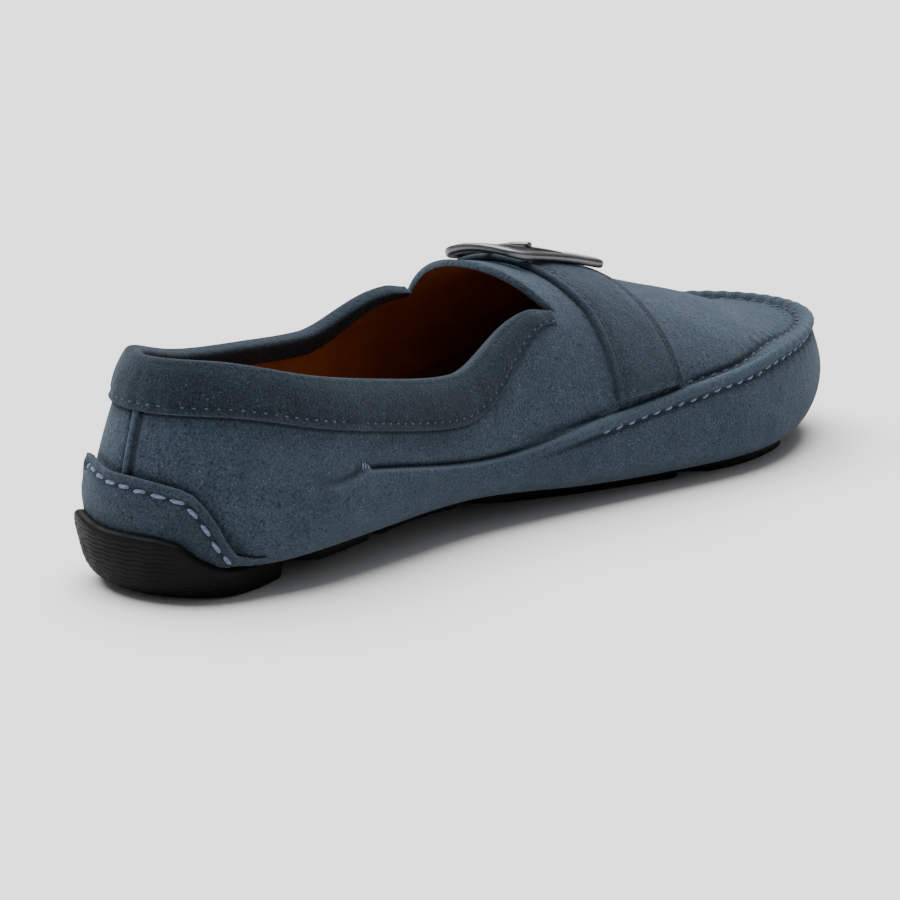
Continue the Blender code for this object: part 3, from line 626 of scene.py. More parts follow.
def upper_lift(side, x, from_seam, along, height, across_back):
    """How far the suede stands out of the plain last, where it is lighter with wear and painted highlight,
    and where it is darker with painted shade.
    """
    front = smoothstep((x - ROLL_FROM) / ROLL_RUN)
    toe = toe_share(x)
    from_roll = from_seam - ROLL_SHIFT * toe
    born = smoothstep((x - DART + 3.0) / DART_RUN)
    wave = np.cos(tau * along / PUCKER)

    # Rolled seam with a groove on either side and gathers beyond
    dome = np.maximum(1 - (from_roll / ROLL_HALF) ** 2, 0.0) ** 0.75
    groove_wall = hump(from_roll + GROOVE, 0.75)
    tucked = smoothstep((x - TUCK_FROM) / TUCK_RUN) * (1 - smoothstep((x - TUCK_TO) / TUCK_RUN))
    groove_apron = hump(from_roll - GROOVE, 0.95 + 0.45 * wave * toe) * (1 - 0.9 * tucked)
    gathers = hump(from_roll + 4.8, 1.8) * wave * 0.16 * toe
    gathers += hump(from_roll - 5.0, 1.8) * wave * 0.34 * toe
    high = ROLL_HIGH + ROLL_TOE * toe
    rolled = high * dome * (1 + 0.05 * wave * toe) - 0.6 * groove_wall - 0.7 * groove_apron + gathers

    # Lapped seam: the lower leather stands out below a slit
    below = np.where(from_seam <= 0.05, hump(from_seam, 8.0), 0.0)
    slit = hump(from_seam - 0.9, 0.55)
    lapped = LAP_HIGH * below - 0.75 * slit
    lift = born * (front * rolled + (1 - front) * lapped)

    # Fold behind the dart
    fold_x, fold_z = zip(*FOLD_LINE)
    under_fold = np.interp(x, fold_x, fold_z) - height
    fade = smoothstep((x - 32.0) / 20.0) * (1 - smoothstep((x - 55.0) / 5.0))
    tuck = smoothstep((under_fold + 0.3) / 1.3) * np.exp(-np.maximum(under_fold, 0.0) ** 2 / 50.0)
    lift = lift + FOLD_HIGH * fade * tuck

    # Creases, the trench beside the back seam and slow waves of the leather
    for crease_x, crease_z, slope, half, depth in CREASES:
        across = height - crease_z - slope * (x - crease_x)
        lift = lift - depth * hump(x - crease_x, CREASE_REACH) * hump(across, half)
    trench = hump(across_back - TRENCH_ASIDE, 0.7) * (x < 6.0) * (height > 30.0)
    lift = lift - 0.3 * trench
    lift = lift + 0.12 * np.sin(x / 9.0 + side) * np.sin(height / 7.0 + 0.6 * side) * (1 - front)

    # Rubbed wear with painted highlight on the roll, the lapped seam's lip and the fold's lip; painted shade
    # in the grooves, the slit, under the fold and in the trench, and a painted shadow above the heel flap
    worn = born * front * hump(from_roll, 1.2) * 0.55
    worn = worn + born * (1 - front) * hump(from_seam + 0.25, 0.45) * 0.8
    worn = worn + fade * hump(under_fold - 0.9, 0.8) * 0.5
    deep = born * front * (groove_wall * 0.7 + groove_apron * 0.85) + born * (1 - front) * slit
    deep = deep + fade * hump(under_fold + 0.5, 0.8) * 0.75 + trench * 0.85
    above_flap = 0.75 * (height - np.interp(x, HEEL_X, WRAP_TOP[side]))
    deep = deep + 0.7 * hump(above_flap - 0.5, 0.7) * (1 - smoothstep((x - 14.0) / 6.0))
    return lift, worn, deep


def toe_sink(x, from_seam):
    """The apron lies a little below its seam round the toe."""
    return -APRON_SINK * smoothstep((x - SINK_FROM) / SINK_RUN) * smoothstep((from_seam - 2.0) / 6.0)


SQUARE_FROM = 200.0


def toe_seam():
    """The seam round the toe in plan, inner side to outer side, with its run from the toe's tip."""
    angles = np.linspace(angle_at(SQUARE_FROM - 2.0), pi, 320)
    inner = wall_point(MEDIAL, angles, 1.0)
    outer = wall_point(LATERAL, angles, 1.0)
    plan = np.concatenate([inner, outer[::-1]])[:, :2]
    inner_run = lengths_along(inner)
    outer_run = lengths_along(outer)
    along = np.concatenate([inner_run[-1] - inner_run, (outer_run[-1] - outer_run)[::-1]])
    return plan, along


TOE_SEAM, TOE_RUN = toe_seam()


def square_to_seam(points, from_seam, along):
    """Round the toe, distances inside the seam are taken squarely from its line."""
    from_seam = from_seam.copy()
    along = np.array(along)
    inside = (points[..., 0] > SQUARE_FROM) & (from_seam > 0.0)
    apart = np.linalg.norm(points[inside][:, None, :2] - TOE_SEAM[None], axis=-1)
    nearest = apart.argmin(axis=1)
    share = toe_share(points[inside][:, 0])
    from_seam[inside] += (apart.min(axis=1) - from_seam[inside]) * share
    along[inside] += (TOE_RUN[nearest] - along[inside]) * share
    return from_seam, along


STATION_ANGLES = np.concatenate([
    np.linspace(0, angle_at(THROAT), 151),
    np.linspace(angle_at(THROAT), pi, 171)[1:],
])
THROAT_STATION = 150


def side_rows(side, angles):
    """Rows from the seam to the topline, close together at the collar band's lower edge."""
    rows = np.linspace(0, TOP_ROW, 41)
    reach = lengths_along(side_point(side, angles[:, None], rows[None, :]))
    per_mm = TOP_ROW / np.maximum(reach[:, -1], 12.0)
    depth = BAND_HEIGHT * band_share(distance_at(angles))
    edge = np.array([np.interp(run[-1] - d, run, rows) for run, d in zip(reach, depth)])
    back = 1 - smoothstep((distance_at(angles) - 120.0) / 20.0)
    edge = edge * back + 1.7 * (1 - back)
    below = [(edge - 1.5 * per_mm) * share for share in np.linspace(0, 1, 20) ** 1.3]
    close = [edge + step * per_mm for step in (-1.1, -0.8, -0.55, -0.35, -0.15, 0.1, 0.6)]
    room = TOP_ROW - edge - 1.4 * per_mm
    above = [edge + 1.4 * per_mm + room * share for share in np.linspace(0, 1, 9)]
    return below + close + above


def side_grid(side, angles):
    """Half the upper from the bottom's edge to the topline, with its distance from the seam."""
    sole = reading("sole", angles)
    bulge = reading("bulge", angles)
    edge = side_reading("edge", side, angles)
    columns = []
    for turn in np.linspace(0, pi / 2, 9):
        height = sole + (bulge - sole) * (1 - np.cos(turn))
        columns.append(inset_point(side, angles, edge * (1 - np.sin(turn)), height))
    for share in 1 - (1 - np.linspace(0, 1, 17)[1:]) ** 1.5:
        columns.append(wall_point(side, angles, share))
    seam_column = len(columns) - 1
    lip = side_point(side, angles, 0.0)
    for share in (0.33, 0.67):
        columns.append(columns[seam_column] * (1 - share) + lip * share)
    for row in side_rows(side, angles):
        columns.append(side_point(side, angles, row))
    points = np.stack(columns, axis=1)
    reach = lengths_along(points)
    from_seam = reach - reach[:, seam_column:seam_column + 1]
    along = lengths_along(points[:, seam_column])
    along = np.broadcast_to((along[-1] - along)[:, None], from_seam.shape)
    return points, from_seam, along


def bottom_height(x):
    """Height of the suede bottom at a distance seen from above."""
    inner = inset_point(MEDIAL, STATION_ANGLES, side_reading("edge", MEDIAL, STATION_ANGLES), 0.0)
    outer = inset_point(LATERAL, STATION_ANGLES, side_reading("edge", LATERAL, STATION_ANGLES), 0.0)
    return np.interp(x, (inner[:, 0] + outer[:, 0]) / 2, reading("sole", STATION_ANGLES))


def clip_half_plane(polygon, direction, limit):
    kept = []
    for here, there in zip(polygon, polygon[1:] + polygon[:1]):
        a = limit - np.dot(direction, here)
        b = limit - np.dot(direction, there)
        if a >= 0:
            kept.append(here)
        if a * b < 0:
            kept.append(here + (there - here) * a / (a - b))
    return kept


def round_corners(polygon, radius, spacing):
    """Outline with its sharp corners rounded and its long edges divided."""
    rounded = []
    count = len(polygon)
    for i in range(count):
        before, here, after = polygon[i - 1], polygon[i], polygon[(i + 1) % count]
        into = (here - before) / np.linalg.norm(here - before)
        onward = (after - here) / np.linalg.norm(after - here)
        turn = np.arccos(np.clip(np.dot(into, onward), -1, 1))
        if turn < radians(24):
            rounded.append(here)
            continue
        room = 0.45 * min(np.linalg.norm(here - before), np.linalg.norm(after - here))
        cut = max(min(radius * np.tan(turn / 2), room), 0.4)
        start = here - into * cut
        end = here + onward * cut
        for share in np.linspace(0, 1, 6):
            rounded.append((1 - share) ** 2 * start + 2 * share * (1 - share) * here + share ** 2 * end)
    divided = []
    for here, there in zip(rounded, rounded[1:] + rounded[:1]):
        steps = max(int(np.ceil(np.linalg.norm(there - here) / spacing)), 1)
        for k in range(steps):
            divided.append(here + (there - here) * k / steps)
    cleaned = [p for i, p in enumerate(divided) if np.linalg.norm(p - divided[i - 1]) > 0.05]
    return np.array(cleaned)


def tread_outline(row, clear, radius, spacing=1.6):
    """Plan outline of one tread with its corners rounded."""
    _, sum_from, sum_to, difference_from, difference_to, _ = row
    contour = []
    turns = np.linspace(0, pi, 49)
    for side, angles in ((LATERAL, turns), (MEDIAL, turns[::-1][1:-1])):
        recess = reading("recess", angles) if side == MEDIAL else 0.0
        inset = side_reading("edge", side, angles) + recess + clear
        contour += list(inset_point(side, angles, inset, 0.0)[:, :2])
    grow = (TREAD_EDGE - clear) * np.sqrt(2)
    contour = clip_half_plane(contour, np.array([1.0, 1.0]), sum_to + grow)
    contour = clip_half_plane(contour, np.array([-1.0, -1.0]), -sum_from + grow)
    contour = clip_half_plane(contour, np.array([1.0, -1.0]), difference_to + grow)
    contour = clip_half_plane(contour, np.array([-1.0, 1.0]), -difference_from + grow)
    apart = [p for i, p in enumerate(contour) if np.linalg.norm(p - contour[i - 1]) > 0.5]
    return round_corners(apart, radius, spacing)


def inside_outline(outline_points, places):
    """Which plan places lie inside a closed outline."""
    x, y = places[:, 0], places[:, 1]
    inside = np.zeros(len(places), bool)
    for (ax, ay), (bx, by) in zip(outline_points, np.roll(outline_points, -1, axis=0)):
        crosses = (ay > y) != (by > y)
        if crosses.any():
            inside ^= crosses & (x < (bx - ax) * (y - ay) / (by - ay + 1e-12) + ax)
    return inside


def fill_plan(rings, extra):
    """Triangles of a plan area with its outlines kept as edges."""
    places = np.concatenate(list(rings) + [extra])
    edges = []
    start = 0
    for ring in rings:
        count = len(ring)
        edges += [(start + i, start + (i + 1) % count) for i in range(count)]
        start += count
    made = delaunay_2d_cdt([Vector(p) for p in places], edges, [], 0, 1e-4)
    return np.array([p[:] for p in made[0]]), np.array(made[2])


WINDOWS = [tread_outline(row, TREAD_EDGE - WINDOW_CLEAR, 2.6) for row in TREADS]
WINDOW_RUB = 0.6


def in_bottom(ring, places):
    """Which plan places lie on the suede bottom, outside its windows."""
    kept = inside_outline(ring, places)
    for window in WINDOWS:
        kept &= ~inside_outline(window, places)
    return kept


def upper_bottom(rings):
    """Bottom of the upper with its windows left open: points, faces and rubbed window edges."""
    ring = np.concatenate([rings[LATERAL], rings[MEDIAL][::-1][1:-1]])
    gx, gy = np.meshgrid(np.arange(4.0, LENGTH, 3.0), np.arange(-48.0, 52.0, 3.0), indexing="ij")
    extra = np.stack([gx.ravel(), gy.ravel()], axis=-1)
    plan, triangles = fill_plan([ring] + WINDOWS, extra[in_bottom(ring, extra)])
    solid = in_bottom(ring, plan[triangles].mean(axis=1))
    height = bottom_height(plan[:, 0])
    sole = reading("sole", STATION_ANGLES)
    height[:len(ring)] = np.concatenate([sole, sole[::-1][1:-1]])
    rub_and_highlight = np.zeros(len(plan))
    rub_and_highlight[len(ring):len(ring) + sum(len(w) for w in WINDOWS)] = WINDOW_RUB
    return np.column_stack([plan, height]), triangles[solid], rub_and_highlight


def turn_bottom_down(work):
    """Turn the faces so that the lowest one looks down."""
    bmesh.ops.recalc_face_normals(work, faces=work.faces)
    lowest = min(work.faces, key=lambda f: f.calc_center_median().z)
    if lowest.normal.z > 0:
        bmesh.ops.reverse_faces(work, faces=work.faces)


def mean_way(vert, ways):
    """Direction of a point and its neighbours together."""
    return sum((ways[e.other_vert(vert)] for e in vert.link_edges), ways[vert]).normalized()


def lift_suede(work):
    """Move every point out by its own lift, along softened directions."""
    layer = work.verts.layers.float["lift"]
    ways = {v: v.normal.copy() for v in work.verts}
    for _ in range(3):
        ways = {v: mean_way(v, ways) for v in work.verts}
    for vert in work.verts:
        vert.co += ways[vert] * vert[layer] * MM


def thicken_open_edges(work):
    """Turn the open edges in by the wall's thickness."""
    open_edges = [e for e in work.edges if e.is_boundary]
    backs = bmesh.ops.extrude_edge_only(work, edges=open_edges)["geom"]
    normals = {v: v.normal.copy() for e in open_edges for v in e.verts}
    for vert in [g for g in backs if isinstance(g, bmesh.types.BMVert)]:
        source = min((e.other_vert(vert) for e in vert.link_edges), key=lambda v: (v.co - vert.co).length)
        vert.co -= normals.get(source, source.normal) * WALL * MM


def make_upper():
    """Suede upper with its rolled seam, dart, folds and window edges."""
    grids = []
    marks = []
    rings = {}
    corners = {}
    for side in (MEDIAL, LATERAL):
        grid, from_seam, along = side_grid(side, STATION_ANGLES)
        x = np.broadcast_to(distance_at(STATION_ANGLES)[:, None], from_seam.shape)
        corners[side] = from_seam[THROAT_STATION:, -1:], along[THROAT_STATION:, :1]
        from_seam, along = square_to_seam(grid, from_seam, along)
        lift, rub_and_highlight, painted_shading = upper_lift(side, x, from_seam, along, grid[..., 2], np.abs(grid[..., 1]))
        reach = lengths_along(grid)
        still = smoothstep((reach - 0.5) / 6.0)
        under_band = reach[:, -1:] - reach - BAND_HEIGHT * band_share(x)
        # Painted shadow on the suede just under the collar band's lower edge
        painted_shading = painted_shading + hump(under_band - 0.3, 0.5) * (1 - smoothstep((x - 128.0) / 12.0))
        rings[side] = grid[:, 0, :2]
        grids.append(grid)
        marks.append((lift * still + toe_sink(x, from_seam), rub_and_highlight, painted_shading))

    front = STATION_ANGLES[THROAT_STATION:]
    across = np.linspace(VAMP_CORNER, -VAMP_CORNER, 45)
    crown = vamp_point(front[:, None], across[None, :])
    over = lengths_along(crown)
    back_over = over[:, -1:] - over
    from_seam = np.minimum(corners[LATERAL][0] + over, corners[MEDIAL][0] + back_over)
    along = np.where(over < back_over, corners[LATERAL][1], corners[MEDIAL][1])
    from_seam, along = square_to_seam(crown, from_seam, along)
    x = np.broadcast_to(distance_at(front)[:, None], over.shape)
    lift, rub_and_highlight, painted_shading = upper_lift(MEDIAL, x, from_seam, along, crown[..., 2], np.abs(crown[..., 1]))
    grids.append(crown)
    marks.append((lift + toe_sink(x, from_seam), rub_and_highlight, painted_shading))

    points, faces = join_grids(grids)
    bottom, triangles, rub_and_highlight = upper_bottom(rings)
    faces.extend((triangles + len(points)).tolist())
    plain = np.zeros(len(bottom))
    layers = {}
    for k, (key, rest) in enumerate((("lift", plain), ("worn", rub_and_highlight), ("deep", plain))):
        layers[key] = np.concatenate([mark[k].reshape(-1) for mark in marks] + [rest])
    piece = add_piece("upper_suede", np.concatenate([points, bottom]), faces, SUEDE, layers)
    tip = Vector((vamp_point(pi, 0.0) + SHIFT) * MM)
    with editing(piece) as work:
        pole = [v for v in work.verts if (v.co - tip).length < TIP_POLE * MM and v.co.x < tip.x + 0.1 * MM]
        bmesh.ops.pointmerge(work, verts=pole, merge_co=tip)
        weld(work, GRID_WELD)
        loose = [v for v in work.verts if not v.link_faces]
        bmesh.ops.delete(work, geom=loose, context="VERTS")
        turn_bottom_down(work)
        lift_suede(work)
        thicken_open_edges(work)
        turn_bottom_down(work)
    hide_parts("upper")
    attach(piece, "root")
    return piece


def make_lining():
    """Leather lining inside the quarters and the vamp, its faces turned to the foot."""
    rear = np.linspace(0.0, angle_at(THROAT), 61)
    front = np.linspace(angle_at(THROAT), pi, 61)
    angles = np.concatenate([rear, front[1:]])
    grids = [side_grid(side, angles)[0][:, ::2] for side in (MEDIAL, LATERAL)]
    across = np.linspace(VAMP_CORNER, -VAMP_CORNER, 25)
    grids.append(vamp_point(angles[len(rear) - 1:, None], across[None, :]))
    points, faces = join_grids(grids)
    piece = add_piece("lining", points, faces, LINING, {"deep": np.zeros(len(points))})
    with editing(piece) as work:
        weld(work, GRID_WELD)
        bmesh.ops.recalc_face_normals(work, faces=work.faces)
        centre = Vector((0.0, 0.0, 0.03))
        outward = sum((f.calc_center_median() - centre).dot(f.normal) for f in work.faces)
        sign = 1 if outward > 0 else -1
        moves = [v.normal * sign * (WALL + 0.1) * MM for v in work.verts]
        for vert, move in zip(work.verts, moves):
            vert.co -= move
        if sign > 0:
            bmesh.ops.reverse_faces(work, faces=work.faces)
    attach(piece, "root")


SOCK_ENDS = 4.2
SOCK_THICK = 2.6


def make_insole():
    """Leather sock with a soft cup and a turned edge."""
    angles = angle_at(np.linspace(SOCK_ENDS, LENGTH - SOCK_ENDS, 130))
    inner = inset_point(MEDIAL, angles, side_reading("edge", MEDIAL, angles) + 0.6, 0.0)
    outer = inset_point(LATERAL, angles, side_reading("edge", LATERAL, angles) + 0.6, 0.0)
    shares = np.linspace(0, 1, 33)
    base = inner[:, None] + (outer - inner)[:, None] * shares[None, :, None]
    base[..., 2] = reading("sole", angles)[:, None] + WALL + 0.3
    cup = np.abs(2 * shares - 1) ** 4
    top = base.copy()
    top[..., 2] += SOCK_THICK + 0.5 * cup[None, :] - 0.25 * hump(cup - 0.6, 0.05)[None, :]
    rows, columns = base.shape[:2]
    points = np.concatenate([base.reshape(-1, 3), top.reshape(-1, 3)])
    size = rows * columns
    faces = [f[::-1] for f in grid_faces(rows, columns)] + grid_faces(rows, columns, size)
    rim = list(range(columns)) + [i * columns + columns - 1 for i in range(1, rows)]
    rim += [(rows - 1) * columns + j for j in range(columns - 2, -1, -1)]
    rim += [i * columns for i in range(rows - 2, 0, -1)]
    faces += [(a, b, b + size, a + size) for a, b in zip(rim, rim[1:] + rim[:1])]
    piece = add_piece("insole_sock", points, faces, LINING, {"deep": np.zeros(len(points))})
    tidy(piece)
    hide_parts("insole")
    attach(piece, "root")


# Collar band
BAND_TURNING = 4.1


def collar_frames():
    """Stations round the topline, inner throat to outer throat, with a way to read the side below it."""
    rear = np.linspace(0, angle_at(OPEN_FROM), 110)
    front = np.linspace(angle_at(OPEN_FROM), angle_at(THROAT - 1.5), 66)
    turns = np.concatenate([rear, front[1:]])
    stations = [(MEDIAL, a) for a in turns[:0:-1]] + [(LATERAL, a) for a in turns]
    rows = np.linspace(0, TOP_ROW, 40)
    near = 0.012
    made = []
    for side, angle in stations:
        line = side_point(side, np.full(len(rows), angle), rows)
        ahead = np.array([0.0, 1.0, 0.0])
        if angle > near:
            before, after = side_point(side, np.array([angle - near, angle + near]), TOP_ROW)
            ahead = (after - before) * side
        ahead /= np.linalg.norm(ahead)
        made.append((line, lengths_along(line), ahead, distance_at(angle)))
    return made


def on_side(station, depth, offset):
    """Point below the topline at a depth along the side, moved out by an offset."""
    line, reach, ahead, _ = station
    place = np.array([np.interp(reach[-1] - depth, reach, line[:, i]) for i in range(3)])
    above = np.array([np.interp(reach[-1] - depth + 1.5, reach, line[:, i]) for i in range(3)])
    under = np.array([np.interp(reach[-1] - depth - 1.5, reach, line[:, i]) for i in range(3)])
    out = np.cross(above - under, ahead)
    return place + out / np.linalg.norm(out) * offset


def make_collar():
    """Folded suede band, plump between its fold and its stitching."""
    stations = collar_frames()
    edge_depths = BAND_HEIGHT - np.array([0.0, 0.06, 0.2, 0.45])
    depths = np.concatenate([edge_depths, np.linspace(BAND_HEIGHT - 0.9, 0.0, 22)])
    loops = []
    worn = []
    deep = []
    for k, station in enumerate(stations):
        ripple = 0.12 * np.sin(k * 0.21) + 0.08 * np.sin(k * 0.53 + 1.0)
        share = band_share(station[3])
        slim = (0.55 + 0.45 * share) * (1 - 0.75 * smoothstep((station[3] - 135.0) / 9.0))
        loop = []
        edge_rub_and_highlight = []
        dark = []

        # Outer face, from its cut edge up to the fold
        for depth in depths:
            plump = 1.35 + 0.5 * np.sin(pi * np.clip(depth / BAND_STITCH, 0, 1))
            plump = plump + ripple * np.clip(depth / 6, 0, 1)
            dip = 0.3 * hump(depth - BAND_STITCH, 0.7)
            edge = np.sqrt(np.clip((BAND_HEIGHT - depth) / 0.5, 0.0, 1.0))
            raised = (plump - dip) * (0.45 + 0.55 * edge) * slim
            loop.append(on_side(station, depth * share, 0.35 + raised))
            # Painted highlight with rubbed wear at the fold and the cut edge; painted shade in the stitch
            # dip
            edge_rub_and_highlight.append(0.4 * hump(depth, 1.5) + 0.45 * hump(depth - BAND_HEIGHT + 0.35, 0.4))
            dark.append(0.12 * hump(depth - BAND_STITCH, 0.6))

        # Fold over the topline
        line, _, ahead, _ = station
        up = line[-1] - line[-2]
        up /= np.linalg.norm(up)
        out = np.cross(up, ahead)
        out /= np.linalg.norm(out)
        centre = line[-1] - out * (WALL / 2)
        for turn in np.linspace(0.16, pi - 0.16, 11):
            wide = np.sign(np.cos(turn)) * abs(np.cos(turn)) ** 0.7 * (1.3 + 1.2 * slim)
            loop.append(centre + out * wide + up * (0.3 + 2.2 * slim * np.sin(turn) ** 0.7))
            # Painted highlight with wear along the top of the fold
            edge_rub_and_highlight.append(0.55 * np.sin(turn))
            dark.append(0.0)

        # Inner turning, darkened with painted shade, and the hidden way back round the topline
        for depth in (0.5, 1.5, 2.6, 3.6, BAND_TURNING):
            inward = -2.6 if depth == BAND_TURNING else -2.4 - 1.1 * slim
            loop.append(on_side(station, depth * share, inward))
            edge_rub_and_highlight.append(0.0)
            dark.append(0.3)
        hidden = [
            on_side(station, BAND_TURNING * share, -2.4),
            on_side(station, 2.0 * share, -2.4),
            line[-1] - out * 2.3 + up * 0.4,
            line[-1] + out * 0.28 + up * 0.4,
            on_side(station, 4.0 * share, 0.28),
        ]
        loops.append(loop + hidden)
        worn.append(edge_rub_and_highlight + [0.0] * len(hidden))
        deep.append(dark + [0.0] * len(hidden))
    loops = np.array(loops)
    piece = add_piece("collar_band", loops.reshape(-1, 3), closed_loops(loops), BAND,
                      {"worn": np.array(worn).ravel(), "deep": np.array(deep).ravel()})
    tidy(piece)
    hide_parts("collar")
    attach(piece, "root")
    return piece, stations


# Heel pieces
WRAP_REACH = 23.0
WRAP_STITCH = 2.9
WRAP_PITCH = 5.1
WRAP_STITCH_END = 15.5


def heel_top(table, side, angle):
    return float(np.interp(distance_at(angle), HEEL_X, table[side]))


def round_the_heel(reach, steps):
    """Side and angle pairs from the inner side round the heel's back to the outer side."""
    turns = np.linspace(0, float(angle_at(reach)), steps + 1)
    return [(MEDIAL, t) for t in turns[:0:-1]] + [(LATERAL, t) for t in turns]


def heel_point(side, angle, height, out):
    return quarter_point(side, np.array([angle]), np.array([float(height)]), out)[0]


def make_heel_wrap():
    """Suede flap turned up round the heel, its free edge standing away above the stitches."""
    stations = round_the_heel(WRAP_REACH, 70)
    edge = np.array([heel_point(s, a, heel_top(WRAP_TOP, s, a), 1.5) for s, a in stations])
    run = np.concatenate([[0.0], np.cumsum(np.hypot(*np.diff(edge[:, :2], axis=0).T))])
    slope = np.gradient(edge[:, 2], run)
    level = 1 / np.hypot(1.0, slope)
    shares = np.concatenate([np.linspace(0, 0.6, 10), np.linspace(0.63, 1.0, 18)])
    loops = []
    worn = []
    deep = []
    for i, (side, angle) in enumerate(stations):
        x = distance_at(angle)
        top = edge[i, 2]
        foot = min(float(reading("sole", angle)) + 1.6, top - 0.6)
        thin = 1 - 0.85 * smoothstep((x - 13.0) / 11.0)
        wave = 0.16 * np.cos(tau * run[i] / WRAP_PITCH)
        outer = []
        edge_rub_and_highlight = []
        dark = []
        for share in shares:
            height = foot + (top - foot) * share
            below = (top - height) * level[i]
            dip = 0.75 * hump(below - WRAP_STITCH, 0.85)
            flare = (0.9 + wave) * smoothstep((2.4 - below) / 2.4)
            swell = 0.35 * hump(below - 5.2, 1.6)
            outer.append(heel_point(side, angle, height, 0.35 + (1.6 - dip + flare + swell) * thin))
            # Painted highlight with wear on the free edge; painted shade in the stitch groove
            edge_rub_and_highlight.append(0.75 * hump(below, 0.45))
            dark.append(0.4 * hump(below - WRAP_STITCH, 0.6))
        outer.append(heel_point(side, angle, top + 0.15, 0.3 + 1.7 * thin))
        outer.append(heel_point(side, angle, top - 0.1, 0.3 + 1.0 * thin))
        outer.append(heel_point(side, angle, top - 0.35 * (top - foot), 0.3))
        outer.append(heel_point(side, angle, foot, 0.3))
        # Painted highlight on the edge's top; painted shade on the faces behind the free edge
        edge_rub_and_highlight += [0.6, 0.0, 0.0, 0.0]
        dark += [0.0, 0.7, 0.7, 0.0]
        loops.append(outer)
        worn.append(edge_rub_and_highlight)
        deep.append(dark)
    loops = np.array(loops)
    # The flap uses the darker suede copy, its darkness painted shade
    piece = add_piece("heel_flap", loops.reshape(-1, 3), closed_loops(loops), SUEDE_PAINTED_SHADE,
                      {"worn": np.array(worn).ravel(), "deep": np.array(deep).ravel()})
    tidy(piece)
    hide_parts("heel_wrap")
    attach(piece, "root")

    line = []
    for i, (side, angle) in enumerate(stations):
        if distance_at(angle) > WRAP_STITCH_END:
            continue
        aside = slope[i] * level[i] * WRAP_STITCH
        j = int(np.argmin(np.abs(run - run[i] - aside)))
        line.append(heel_point(*stations[j], edge[i, 2] - level[i] * WRAP_STITCH, 1.6))
    return piece, np.array(line)


# Strip over the back seam: its half width, and how far aside one radian of angle leads there
STRIP_HALF = 0.95
STRIP_SPREAD = 58.0


def make_back_seam():
    """Narrow rounded strip over the back seam."""
    low = WRAP_TOP[MEDIAL][0] - 1.0
    high = float(side_reading("rim", MEDIAL, 0.0)) - BAND_HEIGHT + 0.8
    loops = []
    for height in np.linspace(low, high, 24):
        loop = []
        for turn in np.linspace(0, tau, 17)[:-1]:
            y = STRIP_HALF * np.cos(turn)
            out = 0.3 + STRIP_HALF * max(np.sin(turn), -0.25)
            side = MEDIAL if y < 0 else LATERAL
            angle = abs(y) / STRIP_SPREAD
            loop.append(heel_point(side, angle, height, out))
        loops.append(loop)
    loops = np.array(loops)
    marks = np.zeros(loops.shape[:2])
    # Painted highlight with wear along the strip's rounded crest
    marks[:, 2:7] = 0.35
    piece = add_piece("back_strip", loops.reshape(-1, 3), closed_loops(loops), SUEDE,
                      {"worn": marks.ravel(), "deep": np.zeros(marks.size)})
    tidy(piece)
    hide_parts("back_seam")
    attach(piece, "root")


# Heel rubber; the block's guide points are given as inset from the bottom's edge and height
HEEL_TOP = 7.4
HEEL_REACH = 60.0
HEEL_RECESS = 7.5
HEEL_BLOCK = (
    (2.4, 0.0), (0.8, 0.1), (-0.3, 0.8), (-0.9, 2.4),
    (-1.1, 4.4), (-1.1, 6.0), (-0.9, 7.0), (-0.3, HEEL_TOP),
)
HEEL_SHELL = 2.2
HEEL_LIFT = 2.4
RIDGE_PITCH = 1.3
RIDGE_HIGH = 0.13
RIDGE_WEAVE = 75.0


def heel_profile(side, angle):
    """Outer face of the heel rubber from its flat underside up to its lip, as guide points."""
    x = float(distance_at(angle))
    top = heel_top(RUBBER_TOP, side, angle)
    edge = float(side_reading("edge", side, angle))
    shell = HEEL_LIFT + HEEL_SHELL
    lip = float(quarter_inset(side, np.array([angle]), np.array([top]))[0]) - shell
    turned = [
        (edge + 2.4, 0.0), (edge + 0.6, 0.12), (edge - 1.6, 0.9), ((edge + lip) / 2 - 0.6, HEEL_TOP * 0.42),
        (lip + 1.0, top * 0.62), (lip + 0.1, top - 2.0), (lip + 0.35, top - 0.5), (lip + 1.1, top)]
    recess = HEEL_RECESS * smoothstep((x - 9.0) / 32.0) if side == MEDIAL else 0.0
    block = [(edge + recess + inset, height) for inset, height in HEEL_BLOCK]
    weight = smoothstep((x - 9.0) / 12.0)
    return np.array(turned) * (1 - weight) + np.array(block) * weight


